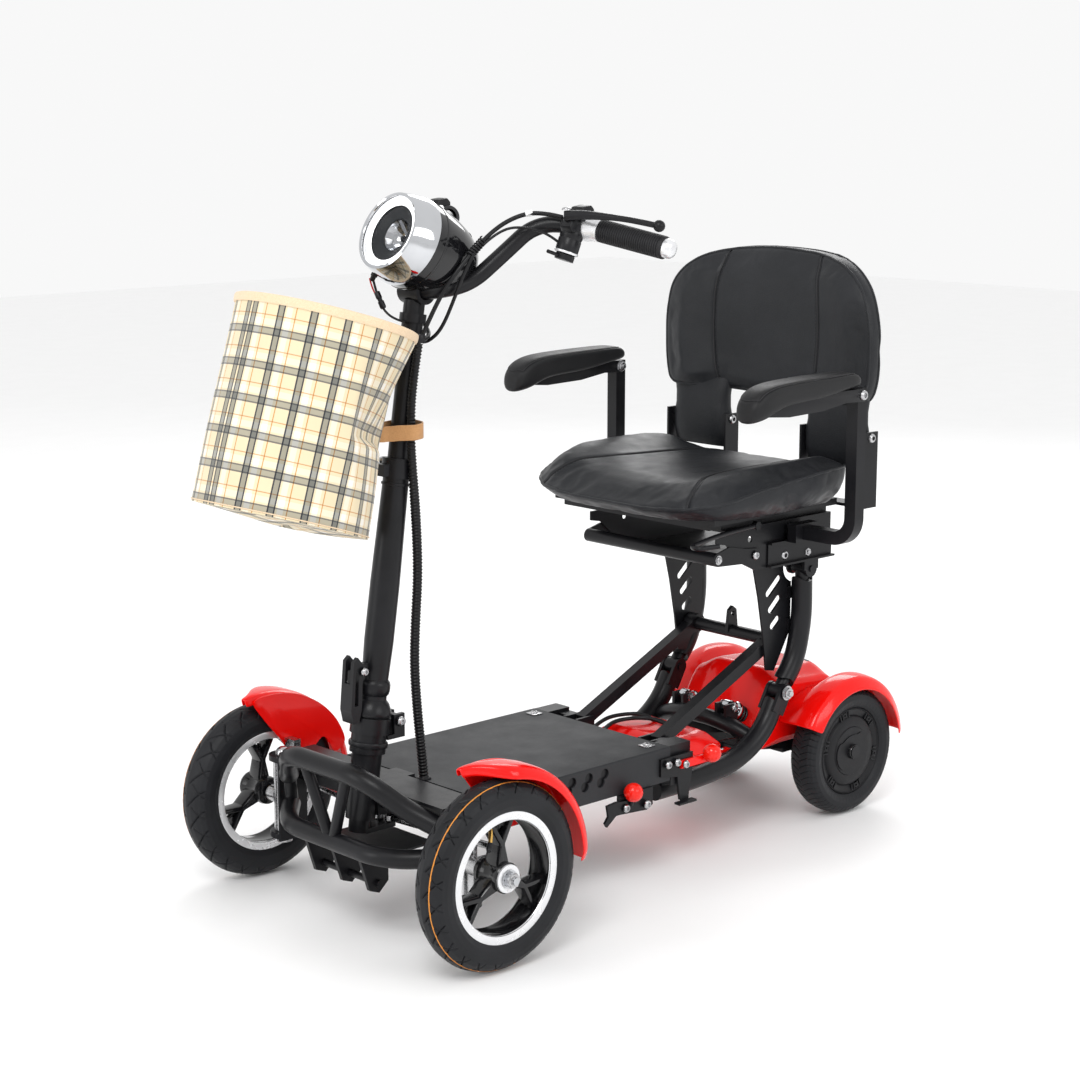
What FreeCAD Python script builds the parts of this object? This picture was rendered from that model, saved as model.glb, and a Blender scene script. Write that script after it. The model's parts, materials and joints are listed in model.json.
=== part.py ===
"""Folding four-wheel mobility scooter with a basket, a padded seat and hub motors.

Millimetres, +X forward, +Y to the rider's left, +Z up. While modelling, x is measured from the
front axle; export moves every piece by FRONT_AXLE_X, so that the origin is on the ground under
the middle of the scooter.
"""
import FreeCAD, Part
import math
import os

V = FreeCAD.Vector

# Driving dimensions
FRONT_AXLE_X = 350.8
FRONT_R = 127.0
FRONT_Y = 252.6
REAR_AXLE = V(-838, 0, 100.5)
REAR_R = 100.5
REAR_Y = 130.0
TYRE_W = 50.0
KINGPIN_Y = 197.0
AXLE_R = 6.0
RUN = 0.05
GAP = 0.3

DECK_FRONT = -73.0
DECK_REAR = -435.0
DECK_HALF = 145.0
DECK_TOP = 186.0
DECK_BOTTOM = 136.0
RAIL_REAR = -480.0

RAKE_X = 6.0
RAKE_Z = 226.0
RAKE_SLOPE = -0.152
STEERER_R = 15.0
STEM_R = 14.3
FOLD_PIN = V(-41, 0, 273)
STEER_ARM = 44.0
STUD_Y = 9.0
TIE_Z = 140.0

POST_PIN = V(-708, 110, 213)
POST_TOP = V(-758, 110, 399)
CROSS_TUBE = V(-722, 0, 286)
SIDE_Y = 110.0
SIDE_R = 16.0
BRACE_Y = 79.0
BRACE_FOOT = V(-475, 0, 172)
SWING_PIN = V(-636, 0, 130)
HOOK_PIN = V(-336, 0, 118)
LOCK_PIN = V(-457, 0, 158)

SEAT_Z = 416.0
SEAT_HALF = 131.5
ARM_PIN = V(-708, 246, 681)
BACK_PIN = V(-800, 0, 603)
CUSHION_HALF = 213.0

BAR_R = 11.0
BAR_CENTRE = V(-90, 0, 850)
POD_HEAD = V(-246, 137, 929)
POD_FOOT = V(-236, 133, 898)
LAMP_FRONT = V(-44, 0, 931)
LAMP_TILT = 25.0
BASKET_TOP = V(59, 0, 828)
BASKET_BOTTOM = V(139, 0, 573)
BASKET_R = 120.0

# Cord routes
CONDUIT = [V(-76, 20.5, 783), V(-64, 20.5, 728), V(-59, 22, 668), V(-56, 29.5, 618), V(-68, 22, 535),
           V(-71, 20, 470), V(-66, 20, 410), V(-62, 21, 351), V(-65, 22, 292), V(-71, 22, 237),
           V(-77, 21, DECK_TOP + 3.2)]
BUNDLE = [V(-233, 130, 947), V(-222, 103, 953), V(-200, 80, 949), V(-165, 66, 929), V(-112, 61.5, 883.5)]
BUNDLE_LEFT = [V(-92, 40, 840), V(-77, 22.5, 787)]
BUNDLE_RIGHT = [V(-106, -46, 842), V(-112, -8, 804), V(-100, 16, 790), V(-84, 21.5, 788)]
SLEEVE_TOP = BUNDLE[3] + (BUNDLE[4] - BUNDLE[3]) * 0.3
SLEEVE_FOOT = BUNDLE[3] + (BUNDLE[4] - BUNDLE[3]) * 0.645
THIN_CABLE = [V(-240, 130, 905), V(-222, 121, 924), V(-196, 96, 935), V(-170, 77, 931), V(-148, 69.5, 912)]
CROSS_CABLE = [V(-101, 9, 782), V(-108, 30, 800), V(-115, 50, 845), V(-122, 62, 880), V(-133, 67.5, 901)]
LAMP_LEAD = [V(-40, -29, 868), V(-45, -26, 842), V(-51, -10, 816), V(-60, 12, 812)]
LEADS = [[V(-450.6, -14, 164), V(-472, -28, 170), V(-502, -36, 175), V(-537, -25, 176), V(-556, 8, 176),
          V(-564, 48, 160)],
         [V(-450.6, -40, 164), V(-475, -50, 170), V(-507, -55, 176), V(-537, -51, 176), V(-560, -34, 176),
          V(-578, -8, 160)]]

X = V(1, 0, 0)
Y = V(0, 1, 0)
Z = V(0, 0, 1)
written = []


def save(name, shape):
    """Move a piece to the scooter's own origin and write its STEP file."""
    placed = shape.copy()
    placed.translate(V(FRONT_AXLE_X, 0, 0))
    placed.exportStep("parts/" + name + ".step")
    written.append((name, placed))


def box(x0, x1, y0, y1, z0, z1):
    return Part.makeBox(x1 - x0, y1 - y0, z1 - z0, V(x0, y0, z0))


def rod(a, b, radius):
    return Part.makeCylinder(radius, (b - a).Length, a, b - a)


def pipe(a, b, outer, inner):
    return rod(a, b, outer).cut(rod(a, b, inner))


def fuse(pieces):
    whole = pieces[0]
    for piece in pieces[1:]:
        whole = whole.fuse(piece)
    return whole.removeSplitter()


def group(pieces):
    return Part.makeCompound(pieces)


def mirrored(shape):
    return shape.mirror(V(0, 0, 0), Y)


def both(shape):
    return group([shape, mirrored(shape)])


def turned(profile, base, axis):
    """Revolve an outline of (radius, height) pairs about an axis through base."""
    side = axis.cross(Y) if abs(axis.y) < 0.5 else X
    side.normalize()
    up = V(axis)
    up.normalize()
    points = [base + side * r + up * h for r, h in profile]
    face = Part.Face(Part.makePolygon(points + [points[0]]))
    return face.revolve(base, up, 360)


def plate(outline, y0, y1):
    """Flat plate standing in the x-z plane, from y0 to y1."""
    points = [V(x, y0, z) for x, z in outline]
    face = Part.Face(Part.makePolygon(points + [points[0]]))
    return face.extrude(V(0, y1 - y0, 0))


def route(points, share=0.45):
    """Straight runs joined by tangent arcs, as one wire, with the arcs' radii."""
    edges = []
    radii = []
    start = points[0]
    for before, corner, after in zip(points, points[1:], points[2:]):
        inward = corner - before
        outward = after - corner
        turn = inward.getAngle(outward)
        cut = share * min(inward.Length, outward.Length)
        inward.normalize()
        outward.normalize()
        a = corner - inward * cut
        b = corner + outward * cut
        radius = cut / math.tan(turn / 2)
        radii.append(radius)
        middle = (outward - inward)
        middle.normalize()
        centre = corner + middle * (radius / math.cos(turn / 2))
        c = centre - middle * radius
        if (a - start).Length > 1e-6:
            edges.append(Part.LineSegment(start, a).toShape())
        edges.append(Part.Arc(a, c, b).toShape())
        start = b
    edges.append(Part.LineSegment(start, points[-1]).toShape())
    return Part.Wire(edges), radii


def bent_rod(points, radius, share=0.45):
    wire, radii = route(points, share)
    start = points[1] - points[0]
    profile = Part.Wire(Part.makeCircle(radius, points[0], start))
    return wire.makePipeShell([profile], True, False)


def rake(z, aside=0.0):
    """Point on the steering axis at height z."""
    return V(RAKE_X + RAKE_SLOPE * (z - RAKE_Z), aside, z)


def cord(name, points, radius):
    """Round cord along a route; the tightest of its arcs is printed."""
    print(name, "radii", [round(r) for r in route(points)[1]])
    return bent_rod(points, radius)


def mirror_route(half):
    """A route that starts on the centre plane, with its mirror image in front."""
    other = [V(p.x, -p.y, p.z) for p in reversed(half)]
    return other + half


RAKE_AXIS = V(RAKE_SLOPE, 0, 1)
RAKE_AXIS.normalize()


# ---------------------------------------------------------------- deck and front frame
def deck_plate():
    """Folded sheet tray, open below, with three slanted slots in each side."""
    outer = box(DECK_REAR, DECK_FRONT, -DECK_HALF, DECK_HALF, DECK_BOTTOM, DECK_TOP)
    outer = outer.makeFillet(3, [e for e in outer.Edges if top_side_edge(e)])
    inner = box(DECK_REAR - 1, DECK_FRONT + 1, -DECK_HALF + 3, DECK_HALF - 3, DECK_BOTTOM - 1, DECK_TOP - 3)
    tray = outer.cut(inner)
    for slot_x in (-236, -268, -299):
        low = V(slot_x + 4, -DECK_HALF - 5, 162)
        high = V(slot_x - 4, -DECK_HALF - 5, 173)
        for centre in (low, high):
            tray = tray.cut(Part.makeCylinder(7.5, 2 * DECK_HALF + 10, centre, Y))
    pocket = box(-421.1, -404.9, 110.6, 126.8, DECK_TOP - 1.6, DECK_TOP + 1)
    return tray.cut(both(pocket))


def top_side_edge(edge):
    box_ = edge.BoundBox
    return box_.ZMin > DECK_TOP - 1 and box_.XLength > 100


def deck_screws():
    """Square washers with round heads, sunk into the deck's rear corners."""
    head = Part.makeCylinder(5, 0.75, V(-413, 118.7, DECK_TOP - 0.8), Z)
    washer = box(-421, -405, 110.7, 126.7, DECK_TOP - 1.6, DECK_TOP - 0.8)
    return both(head.fuse(washer))


def deck_frame():
    """Two long rails with a front box and a rear cross member."""
    rail = box(RAIL_REAR, DECK_FRONT - 0.5, 112, 141.5, 141, 182.7)
    rail = rail.cut(box(RAIL_REAR + 4, DECK_FRONT - 4, 114.5, 139, 143.5, 180.2))
    rail_end = box(RAIL_REAR, DECK_REAR - 0.5, 112, 141.5, 182.7, DECK_TOP)
    rail = rail.fuse(rail_end)
    front = box(DECK_FRONT + 0.5, -62, -DECK_HALF, DECK_HALF, 139, 185)
    joiner = box(DECK_FRONT - 0.5, DECK_FRONT + 0.5, 112, 141.5, 141, 182.7)
    neck = box(-62, 3, -19.8, 19.8, 150, 195.8).cut(rod(rake(120), rake(260), 20.6))
    rear = box(-449, -437, -112, 112, 141, 178)
    return fuse([rail, mirrored(rail), joiner, mirrored(joiner), front, neck, rear])


def head_tube():
    return pipe(rake(146), rake(235), 20.5, STEERER_R + RUN)


def front_cross_beam():
    """Head tube with flat wings and ribs that carry a C-shaped kingpin bracket at each end."""
    wing = box(-40, 22, 20, 176, 196, 200)
    rib = box(-24, -4, 20, 176, 160, 196.5)
    bridge = box(-40, 22, -20, 20, 196, 200)
    side = fuse([wing, rib, side_bracket()])
    beam = fuse([side, mirrored(side), bridge]).cut(rod(rake(120), rake(260), 20.5))
    return beam.fuse(head_tube())


def front_top_tube():
    half = [V(77, 80, 231), V(40, 126, 190), V(18, 160, 172)]
    return bent_rod(mirror_route(half), 14)


def front_bumper():
    """Bumper: upper and lower tube, a V of two struts between them and two upright ends."""
    top_tube = front_top_tube()
    half = [V(67, 86, 125), V(48, 122, 124), V(14, 160, 128)]
    tube = bent_rod(mirror_route(half), 13)
    strut = rod(V(67, -4, 127), V(76, -46, 229), 8)
    strap = rod(V(14, 158, 128), V(18, 158, 172), 9)
    whole = fuse([tube, strut, mirrored(strut), strap, mirrored(strap)])
    return whole.fuse(top_tube)


def side_bracket():
    """C-shaped kingpin bracket: web, upper lug and lower lug."""
    web = box(-24, 24, 174, 178, 70, 196)
    upper = box(-20, 20, 178, 197, 182, 190).fuse(Part.makeCylinder(20, 8, V(0, KINGPIN_Y, 182), Z))
    lower = box(-20, 20, 178, 197, 70, 78).fuse(Part.makeCylinder(20, 8, V(0, KINGPIN_Y, 70), Z))
    bores = Part.makeCylinder(8, 140, V(0, KINGPIN_Y, 60), Z)
    return fuse([web, upper, lower]).cut(bores)


def kingpins():
    pin = Part.makeCylinder(8, 124, V(0, KINGPIN_Y, 68), Z)
    dome = Part.makeSphere(11, V(0, KINGPIN_Y, 190)).common(box(-12, 12, 180, 214, 190.05, 202))
    nut = Part.makeCylinder(11, 8, V(0, KINGPIN_Y, 61.9), Z)
    return both(fuse([pin, dome, nut]))


def skid_bracket():
    """Low black guard below the cage: three hangers and a rod."""
    hanger = plate([(67, 112), (20, 112), (20, 74), (36, 60), (52, 66)], -3, 3)
    pieces = [hanger]
    for aside in (-58, 58):
        other = hanger.copy()
        other.translate(V(0, aside, 0))
        pieces.append(other)
    pieces.append(rod(V(38, -66, 74), V(38, 66, 74), 5))
    floor = box(-58, 40, -64, 64, 108, 111)
    pieces.append(floor)
    return fuse(pieces)


def battery_pack():
    """Battery under the deck, with the two motor leads that leave the deck's rear end."""
    leads = [cord("motor lead", points, 3).cut(controller_cover()) for points in LEADS]
    return group([box(-400, -110, -92, 92, 143, 180)] + leads)


# ---------------------------------------------------------------- steering
def steerer_tube():
    """Shaft in the head tube, bearing collar, fixed half of the fold joint, pitman arm below."""
    shaft = rod(rake(128), rake(240), STEERER_R)
    collar = rod(rake(236), rake(243), 24.5)
    head = rod(rake(243), rake(262), 24)
    ear = plate([(-20, 250), (-50, 250), (-50, 283), (-32, 283), (-32, 256), (-20, 256)], 8, 14)
    pin = rod(V(FOLD_PIN.x, -16, FOLD_PIN.z), V(FOLD_PIN.x, 16, FOLD_PIN.z), 4)
    arm_root = rake(TIE_Z)
    arm_end = arm_root - V(STEER_ARM, 0, 0)
    arm = box(arm_end.x - 6, arm_root.x, -15, 15, 127, 133.4)
    studs = []
    for aside in (-STUD_Y, STUD_Y):
        stud = V(arm_end.x, aside, TIE_Z)
        studs.append(rod(stud - RAKE_AXIS * 8, stud + RAKE_AXIS * 6, 4))
    return fuse([shaft, collar, head, ear, mirrored(ear), pin, arm] + studs)


def tie_rod():
    """Left track rod: a rod end on the pitman stud, the rod, and an open rod end at the knuckle."""
    inner = rake(TIE_Z) + V(-STEER_ARM, STUD_Y, 0)
    outer = V(-STEER_ARM, KINGPIN_Y + STUD_Y, TIE_Z)
    inner_eye = Part.makeCylinder(8.6, 7, V(inner.x, inner.y, TIE_Z - 3.5), Z)
    outer_eye = Part.makeCylinder(11, 8, V(outer.x, outer.y, TIE_Z - 4), Z)
    shank = rod(V(inner.x, inner.y, TIE_Z), V(outer.x, outer.y, TIE_Z), 5)
    link = fuse([inner_eye, outer_eye, shank])
    link = link.cut(rod(inner - RAKE_AXIS * 15, inner + RAKE_AXIS * 15, 4 + RUN))
    link = link.cut(Part.makeCylinder(6.5, 30, V(outer.x, outer.y, TIE_Z - 15), Z))
    return link


def knuckle():
    """Left steering knuckle: sleeve, stub axle, steering arm with stud, fender arm."""
    sleeve = Part.makeCylinder(14, 102.6, V(0, KINGPIN_Y, 78.7), Z)
    sleeve = sleeve.cut(Part.makeCylinder(8 + RUN, 120, V(0, KINGPIN_Y, 70), Z))
    stub = rod(V(0, KINGPIN_Y + 10, FRONT_R), V(0, 292, FRONT_R), AXLE_R)
    shoulder = rod(V(0, KINGPIN_Y + 10, FRONT_R), V(0, 224, FRONT_R), 12)
    nut = Part.makePolygon([V(10 * math.cos(math.radians(a)), 284, FRONT_R + 10 * math.sin(math.radians(a)))
                            for a in range(0, 361, 60)])
    nut = Part.Face(nut).extrude(V(0, 6, 0))
    arm = box(-STEER_ARM - 8, -8, KINGPIN_Y + 1, KINGPIN_Y + 16, 124, 132)
    stud = Part.makeCylinder(5, 14, V(-STEER_ARM, KINGPIN_Y + STUD_Y, 131), Z)
    fender_arm = box(-34, -8, 200, 206, 168, 181).fuse(box(-34, -22, 200, 221.5, 176, 204))
    whole = fuse([sleeve, stub, shoulder, nut, arm, stud, fender_arm])
    return whole.cut(Part.makeCylinder(8 + RUN, 120, V(0, KINGPIN_Y, 70), Z))


def front_fender():
    """Left fender: a curved blade over the tyre with an inner skirt."""
    def ring(outer, inner, y0, y1):
        return Part.makeCylinder(outer, y1 - y0, V(0, y0, FRONT_R), Y).cut(
            Part.makeCylinder(inner, y1 - y0, V(0, y0, FRONT_R), Y))
    blade = ring(146, 143, 222, 283)
    skirt = ring(146, 92, 222, 224.6)
    wedge = plate([(0, FRONT_R), (62, 310), (-200, 310), (-200, 112), (-80, 116)], 200, 300)
    skirt_keep = plate([(10, 310), (-160, 310), (-160, 160), (-75, 150), (-22, 190)], 200, 300)
    return fuse([blade.common(wedge), skirt.common(skirt_keep)])


# ---------------------------------------------------------------- wheels
def front_tyre():
    profile = [(84, -17), (88, -22), (100, -TYRE_W / 2), (113, -23.5), (122, -16), (126.5, -6), (FRONT_R, 0),
               (126.5, 6), (122, 16), (113, 23.5), (100, TYRE_W / 2), (88, 22), (84, 17)]
    return turned(profile, V(0, FRONT_Y, FRONT_R), Y)


def front_wheel():
    """Cast wheel: rim barrel with lips, three pairs of spokes and a hub with its bore."""
    centre = V(0, FRONT_Y, FRONT_R)
    rim = turned([(74, -21), (87, -21), (87, -18), (83.6, -16), (83.6, 16), (87, 18), (87, 21), (74, 21),
                  (73, 18), (77, 10), (77, -10), (73, -18)], centre, Y)
    pieces = [rim]
    for base in (90, 210, 330):
        for spread in (-14, 14):
            inner = math.radians(base - spread * 0.4)
            outer = math.radians(base + spread)
            a = centre + V(14 * math.cos(inner), 0, 14 * math.sin(inner))
            b = centre + V(76 * math.cos(outer), 0, 76 * math.sin(outer))
            pieces.append(rod(a, b, 5.5))
    pieces.append(rod(centre - V(0, 22, 0), centre + V(0, 20, 0), 20))
    pieces.append(rod(centre + V(0, 20, 0), centre + V(0, 26, 0), 12))
    wheel = fuse(pieces)
    return wheel.cut(rod(centre - V(0, 60, 0), centre + V(0, 60, 0), AXLE_R + RUN))


def rear_tyre():
    profile = [(69.3, -19), (76, -23), (90, -TYRE_W / 2), (98, -20), (REAR_R, -8), (REAR_R, 8), (98, 20),
               (90, TYRE_W / 2), (76, 23), (69.3, 19)]
    return turned(profile, V(REAR_AXLE.x, REAR_Y, REAR_AXLE.z), Y)


def rear_hub():
    """Hub motor drum with a dished cover and a ring of bosses."""
    centre = V(REAR_AXLE.x, REAR_Y, REAR_AXLE.z)
    drum = turned([(0, -20), (60, -20), (69, -18), (69, 18), (64, 20), (57, 14), (30, 19), (0, 19)], centre, Y)
    pieces = [drum]
    for angle in range(0, 360, 60):
        turn = math.radians(angle)
        boss = centre + V(61 * math.cos(turn), 0, 61 * math.sin(turn))
        pieces.append(rod(boss + V(0, 10, 0), boss + V(0, 22, 0), 6))
    return fuse(pieces).cut(rod(centre - V(0, 60, 0), centre + V(0, 60, 0), AXLE_R + RUN))


# ---------------------------------------------------------------- rear frame
def side_tube():
    """Left lower tube with the two cheeks that hold the folding post."""
    bend = [V(-437.3, SIDE_Y, 113), V(-523, SIDE_Y, 113), V(-601, SIDE_Y, 120), V(-646, SIDE_Y, 137),
            V(-680, SIDE_Y, 164), POST_PIN]
    tube = bent_rod(bend, SIDE_R)
    tube = tube.cut(Part.makeCylinder(22, 60, V(POST_PIN.x, 80, POST_PIN.z), Y))
    away = V(-680, 0, 164) - V(POST_PIN.x, 0, POST_PIN.z)
    away.normalize()
    across = away.cross(Y)
    cheeks = []
    for y0 in (94.2, 120.4):
        base = V(POST_PIN.x, y0, POST_PIN.z)
        disc = Part.makeCylinder(13, 5.4, base, Y)
        corners = [base + across * 13, base + across * 13 + away * 34,
                   base - across * 13 + away * 34, base - across * 13]
        strip = Part.Face(Part.makePolygon(corners + [corners[0]])).extrude(V(0, 5.4, 0))
        cheeks.append(disc.fuse(strip))
    pin = Part.makeCylinder(6, 36, V(POST_PIN.x, 92, POST_PIN.z), Y)
    hanger = box(-470, -440, 96, 124, 118, 141)
    return fuse([tube, pin, hanger] + cheeks)


def rear_side_tubes():
    return both(side_tube())


def rear_arch(tubes):
    """Arch between the side tubes that carries the shock absorbers' upper eyes."""
    half = [V(-650, 30, 165), V(-657, 64, 157), V(-668, 100, 141)]
    arch = bent_rod(mirror_route(half), 12.5)
    lugs = []
    for aside in (-45, 45):
        lugs.append(box(-676, -650, aside - 12, aside - 7, 160, 190))
        lugs.append(box(-676, -650, aside + 7, aside + 12, 160, 190))
    pivot = rod(V(SWING_PIN.x, -100, SWING_PIN.z), V(SWING_PIN.x, 100, SWING_PIN.z), 6)
    return fuse([arch, pivot] + lugs).cut(tubes)


def deck_rear_brackets():
    """Saddles behind the deck that hold the feet of the two braces."""
    floor = box(-487, -450, 64, 112, 150, 155)
    inner = box(-487, -450, 64, 68, 155, 181)
    outer = box(-487, -450, 90, 94, 155, 181)
    web = box(-479, -457, 94, 112, 155, 181)
    saddle = fuse([floor, inner, outer, web])
    return group([saddle, mirrored(saddle), latch_plates()])


def controller_cover():
    """Faceted red cover over the electronics between the side tubes."""
    block = box(-622, -490, -90, 90, 108, 164)
    edges = [e for e in block.Edges if e.BoundBox.ZMin > 163]
    return block.makeChamfer(16, edges)


def shock_rods():
    """Bright rods of the two shock absorbers with their upper eyes."""
    eye = rod(V(-668, 38.2, 183), V(-668, 51.8, 183), 9)
    pin = rod(V(-668, 33, 183), V(-668, 57, 183), 4)
    shaft = rod(V(-668, 45, 183), V(-716, 45, 152), 5)
    lugs = fuse([box(-676, -650, y0, y0 + 5, 160, 190) for y0 in (33, 52)])
    return both(fuse([eye, pin, shaft]).cut(lugs))


def shock_bodies():
    """Cylinders of the shock absorbers, open at the top round the rods."""
    top = V(-710, 45, 156)
    foot = V(-786, 45, 107)
    body = rod(top, foot, 13)
    bore = rod(top + V(8.4, 0, 5.4), top + V(-25, 0, -16), 10)
    eye = rod(V(-788, 35, 106), V(-788, 55, 106), 10)
    return both(body.cut(bore).fuse(eye))


def shock_springs():
    """Outer shape of each coil spring, round the rod and against the cylinder's end."""
    return both(pipe(V(-684, 45, 172.8), V(-709.5, 45, 156.3), 14, 9.5))


def swing_frame(shocks):
    """Swing arms, motor beam and the two rear axle stubs."""
    arm = plate([(-626, 121), (-626, 139), (-646, 139), (-700, 134), (-800, 118), (-838, 114), (-838, 88),
                 (-646, 121)], 61, 66)
    arm = arm.cut(rod(V(SWING_PIN.x, 50, SWING_PIN.z), V(SWING_PIN.x, 80, SWING_PIN.z), 6 + RUN))
    beam = box(-872, -804, -78, 78, 88, 116)
    clamp = box(-804, -780, 30, 60, 90, 116)
    axle = rod(V(REAR_AXLE.x, 60, REAR_AXLE.z), V(REAR_AXLE.x, 158, REAR_AXLE.z), AXLE_R)
    cap = rod(V(REAR_AXLE.x, 150.5, REAR_AXLE.z), V(REAR_AXLE.x, 160, REAR_AXLE.z), 10)
    collar = rod(V(REAR_AXLE.x, 78, REAR_AXLE.z), V(REAR_AXLE.x, 104, REAR_AXLE.z), 12)
    half = [arm, clamp, axle, cap, collar]
    whole = fuse([beam] + half + [mirrored(piece) for piece in half])
    return whole.cut(shocks)


def rear_cowling():
    """Red rear cover: a hollow hood between the wheels and a fender over each wheel."""
    outline = [(-682, 168), (-738, 231), (-850, 224), (-930, 178), (-940, 132)]
    inner = [(-686, 168), (-740, 227.5), (-849, 220.5), (-927, 176), (-936.5, 132)]
    hood = plate(outline, -88, 88).cut(plate(inner, -85, 85))
    hood = hood.cut(both(box(-745, -670, 27, 63, 140, 200)))
    fender = Part.makeCylinder(122, 62, V(REAR_AXLE.x, 96, REAR_AXLE.z), Y)
    fender = fender.cut(Part.makeCylinder(118.5, 62, V(REAR_AXLE.x, 96, REAR_AXLE.z), Y))
    keep = plate([(-838, 100.5), (-700, 150), (-700, 300), (-1000, 300), (-1000, 148)], 90, 170)
    fender = fender.common(keep)
    bridge = plate([(-790, 218), (-850, 222), (-900, 196), (-898, 190), (-850, 216), (-792, 212)], 84, 97)
    pieces = [hood, fender, mirrored(fender), bridge, mirrored(bridge)]
    return fuse(pieces)


# ---------------------------------------------------------------- seat post and braces
def seat_posts():
    """Folding posts: bent tube, eye on the hinge pin, slotted gusset and top eye, both sides."""
    path = [POST_PIN, V(-745, SIDE_Y, 256), V(-760, SIDE_Y, 320), POST_TOP + V(0, 0, 0)]
    tube = bent_rod(path, SIDE_R)
    tube = tube.cut(Part.makeCylinder(22, 60, V(POST_PIN.x, 80, POST_PIN.z), Y))
    tube = tube.cut(Part.makeCylinder(20, 60, V(POST_TOP.x, 80, POST_TOP.z), Y))
    rise = V(-745, 0, 256) - V(POST_PIN.x, 0, POST_PIN.z)
    rise.normalize()
    eye = rod(V(POST_PIN.x, 100, POST_PIN.z), V(POST_PIN.x, 120, POST_PIN.z), 12)
    link = rod(POST_PIN, POST_PIN + rise * 32, 9.8)
    top_eye = rod(V(POST_TOP.x, 97, POST_TOP.z), V(POST_TOP.x, 123, POST_TOP.z), 11)
    neck = rod(POST_TOP, POST_TOP - V(0, 0, 30), 10.5)
    gusset = plate([(-666, 406), (-752, 406), (-752, 300), (-716, 240), (-698, 244), (-690, 300), (-678, 360)],
                   90.5, 93.7)
    for low, high in ((V(-700, 84, 363), V(-723, 84, 383)), (V(-706, 84, 337), V(-723, 84, 352)),
                      (V(-711, 84, 311), V(-722, 84, 320))):
        along = (high - low).normalize()
        aside = along.cross(Y) * 5.5
        corners = [low + aside, high + aside, high - aside, low - aside]
        gusset = gusset.cut(plate([(p.x, p.z) for p in corners], 84, 104))
        gusset = gusset.cut(Part.makeCylinder(5.5, 20, low, Y)).cut(Part.makeCylinder(5.5, 20, high, Y))
    gusset = gusset.cut(Part.makeCylinder(24.5, 20, V(POST_TOP.x, 84, POST_TOP.z), Y))
    welds = [box(-758, -744, 92, 98, z0, z0 + 18) for z0 in (300, 350)]
    side = fuse([tube, eye, link, top_eye, neck, gusset] + welds)
    side = side.cut(rod(V(POST_PIN.x, 80, POST_PIN.z), V(POST_PIN.x, 140, POST_PIN.z), 6 + RUN))
    side = side.cut(rod(V(POST_TOP.x, 80, POST_TOP.z), V(POST_TOP.x, 140, POST_TOP.z), 5 + RUN))
    return fuse([side, mirrored(side), cross_tube()])


def cross_tube():
    """Tube between the gussets with an upright tab; the braces hinge on it."""
    tube = rod(V(CROSS_TUBE.x, -92, CROSS_TUBE.z), V(CROSS_TUBE.x, 92, CROSS_TUBE.z), 10)
    tab = plate([(-734, 286), (-710, 286), (-714, 320), (-722, 326), (-730, 320)], -3, 3)
    tab = tab.cut(Part.makeCylinder(4, 20, V(CROSS_TUBE.x, -10, 314), Y))
    return tube.fuse(tab)


def brace():
    """Left brace: square bar with an eye round the cross tube."""
    start = V(CROSS_TUBE.x, BRACE_Y, CROSS_TUBE.z)
    reach = V(BRACE_FOOT.x, BRACE_Y, BRACE_FOOT.z) - start
    length = reach.Length
    bar = Part.makeBox(length, 18, 18, V(0, -9, -9))
    bar.rotate(V(0, 0, 0), Y, math.degrees(math.atan2(-reach.z, reach.x)))
    bar.translate(start)
    eye = rod(V(start.x, BRACE_Y - 9, start.z), V(start.x, BRACE_Y + 9, start.z), 15)
    bore = rod(V(start.x, 60, start.z), V(start.x, 100, start.z), 10 + RUN)
    return bar.fuse(eye).cut(bore)


# ---------------------------------------------------------------- seat
def seat_base():
    """Box of side plates, outer channels, top plate, hinge ears and slide rails."""
    side = plate([(-797, SEAT_Z), (-625, SEAT_Z), (-600, 428), (-562, 462), (-541, 466), (-541, 480), (-797, 480)],
                 128.5, SEAT_HALF)
    side = side.cut(Part.makeCylinder(5, 20, V(-614, 120, 464), Y))
    channel = box(-797, -652, 131.5, 141, SEAT_Z, 454).cut(box(-798, -651, 134, 141.1, SEAT_Z + 3, 451))
    top = box(-797, -560, -SEAT_HALF, SEAT_HALF, 480, 483)
    floor = box(-797, -660, -128.5, 128.5, SEAT_Z, SEAT_Z + 3)
    rail = box(-797, -560, 96, 122, 483, 497)
    ears = []
    for y0 in (88.5, 124):
        ears.append(box(-774, -742, y0, y0 + 4.5, 398, SEAT_Z))
        ears.append(rod(V(POST_TOP.x, y0, POST_TOP.z), V(POST_TOP.x, y0 + 4.5, POST_TOP.z), 13))
    pin = rod(V(POST_TOP.x, 86, POST_TOP.z), V(POST_TOP.x, 131, POST_TOP.z), 5)
    clip = rod(V(-621, 129, 440), V(-621, 136.5, 440), 4)
    half = [side, channel, rail, pin, clip] + ears
    return fuse([top, floor] + half + [mirrored(piece) for piece in half])


def release_bar():
    """Bar across the front of the seat base on two arms; lifting it frees the seat."""
    bar = rod(V(-542, -135, 443), V(-542, 135, 443), 10)
    arm = plate([(-630, 431), (-612, 429), (-542, 433), (-542, 453), (-566, 459), (-600, 452), (-630, 449)], 132, 135)
    arm = arm.cut(rod(V(-621, 130, 440), V(-621, 140, 440), 4 + RUN))
    return fuse([bar, arm, mirrored(arm)])


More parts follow.
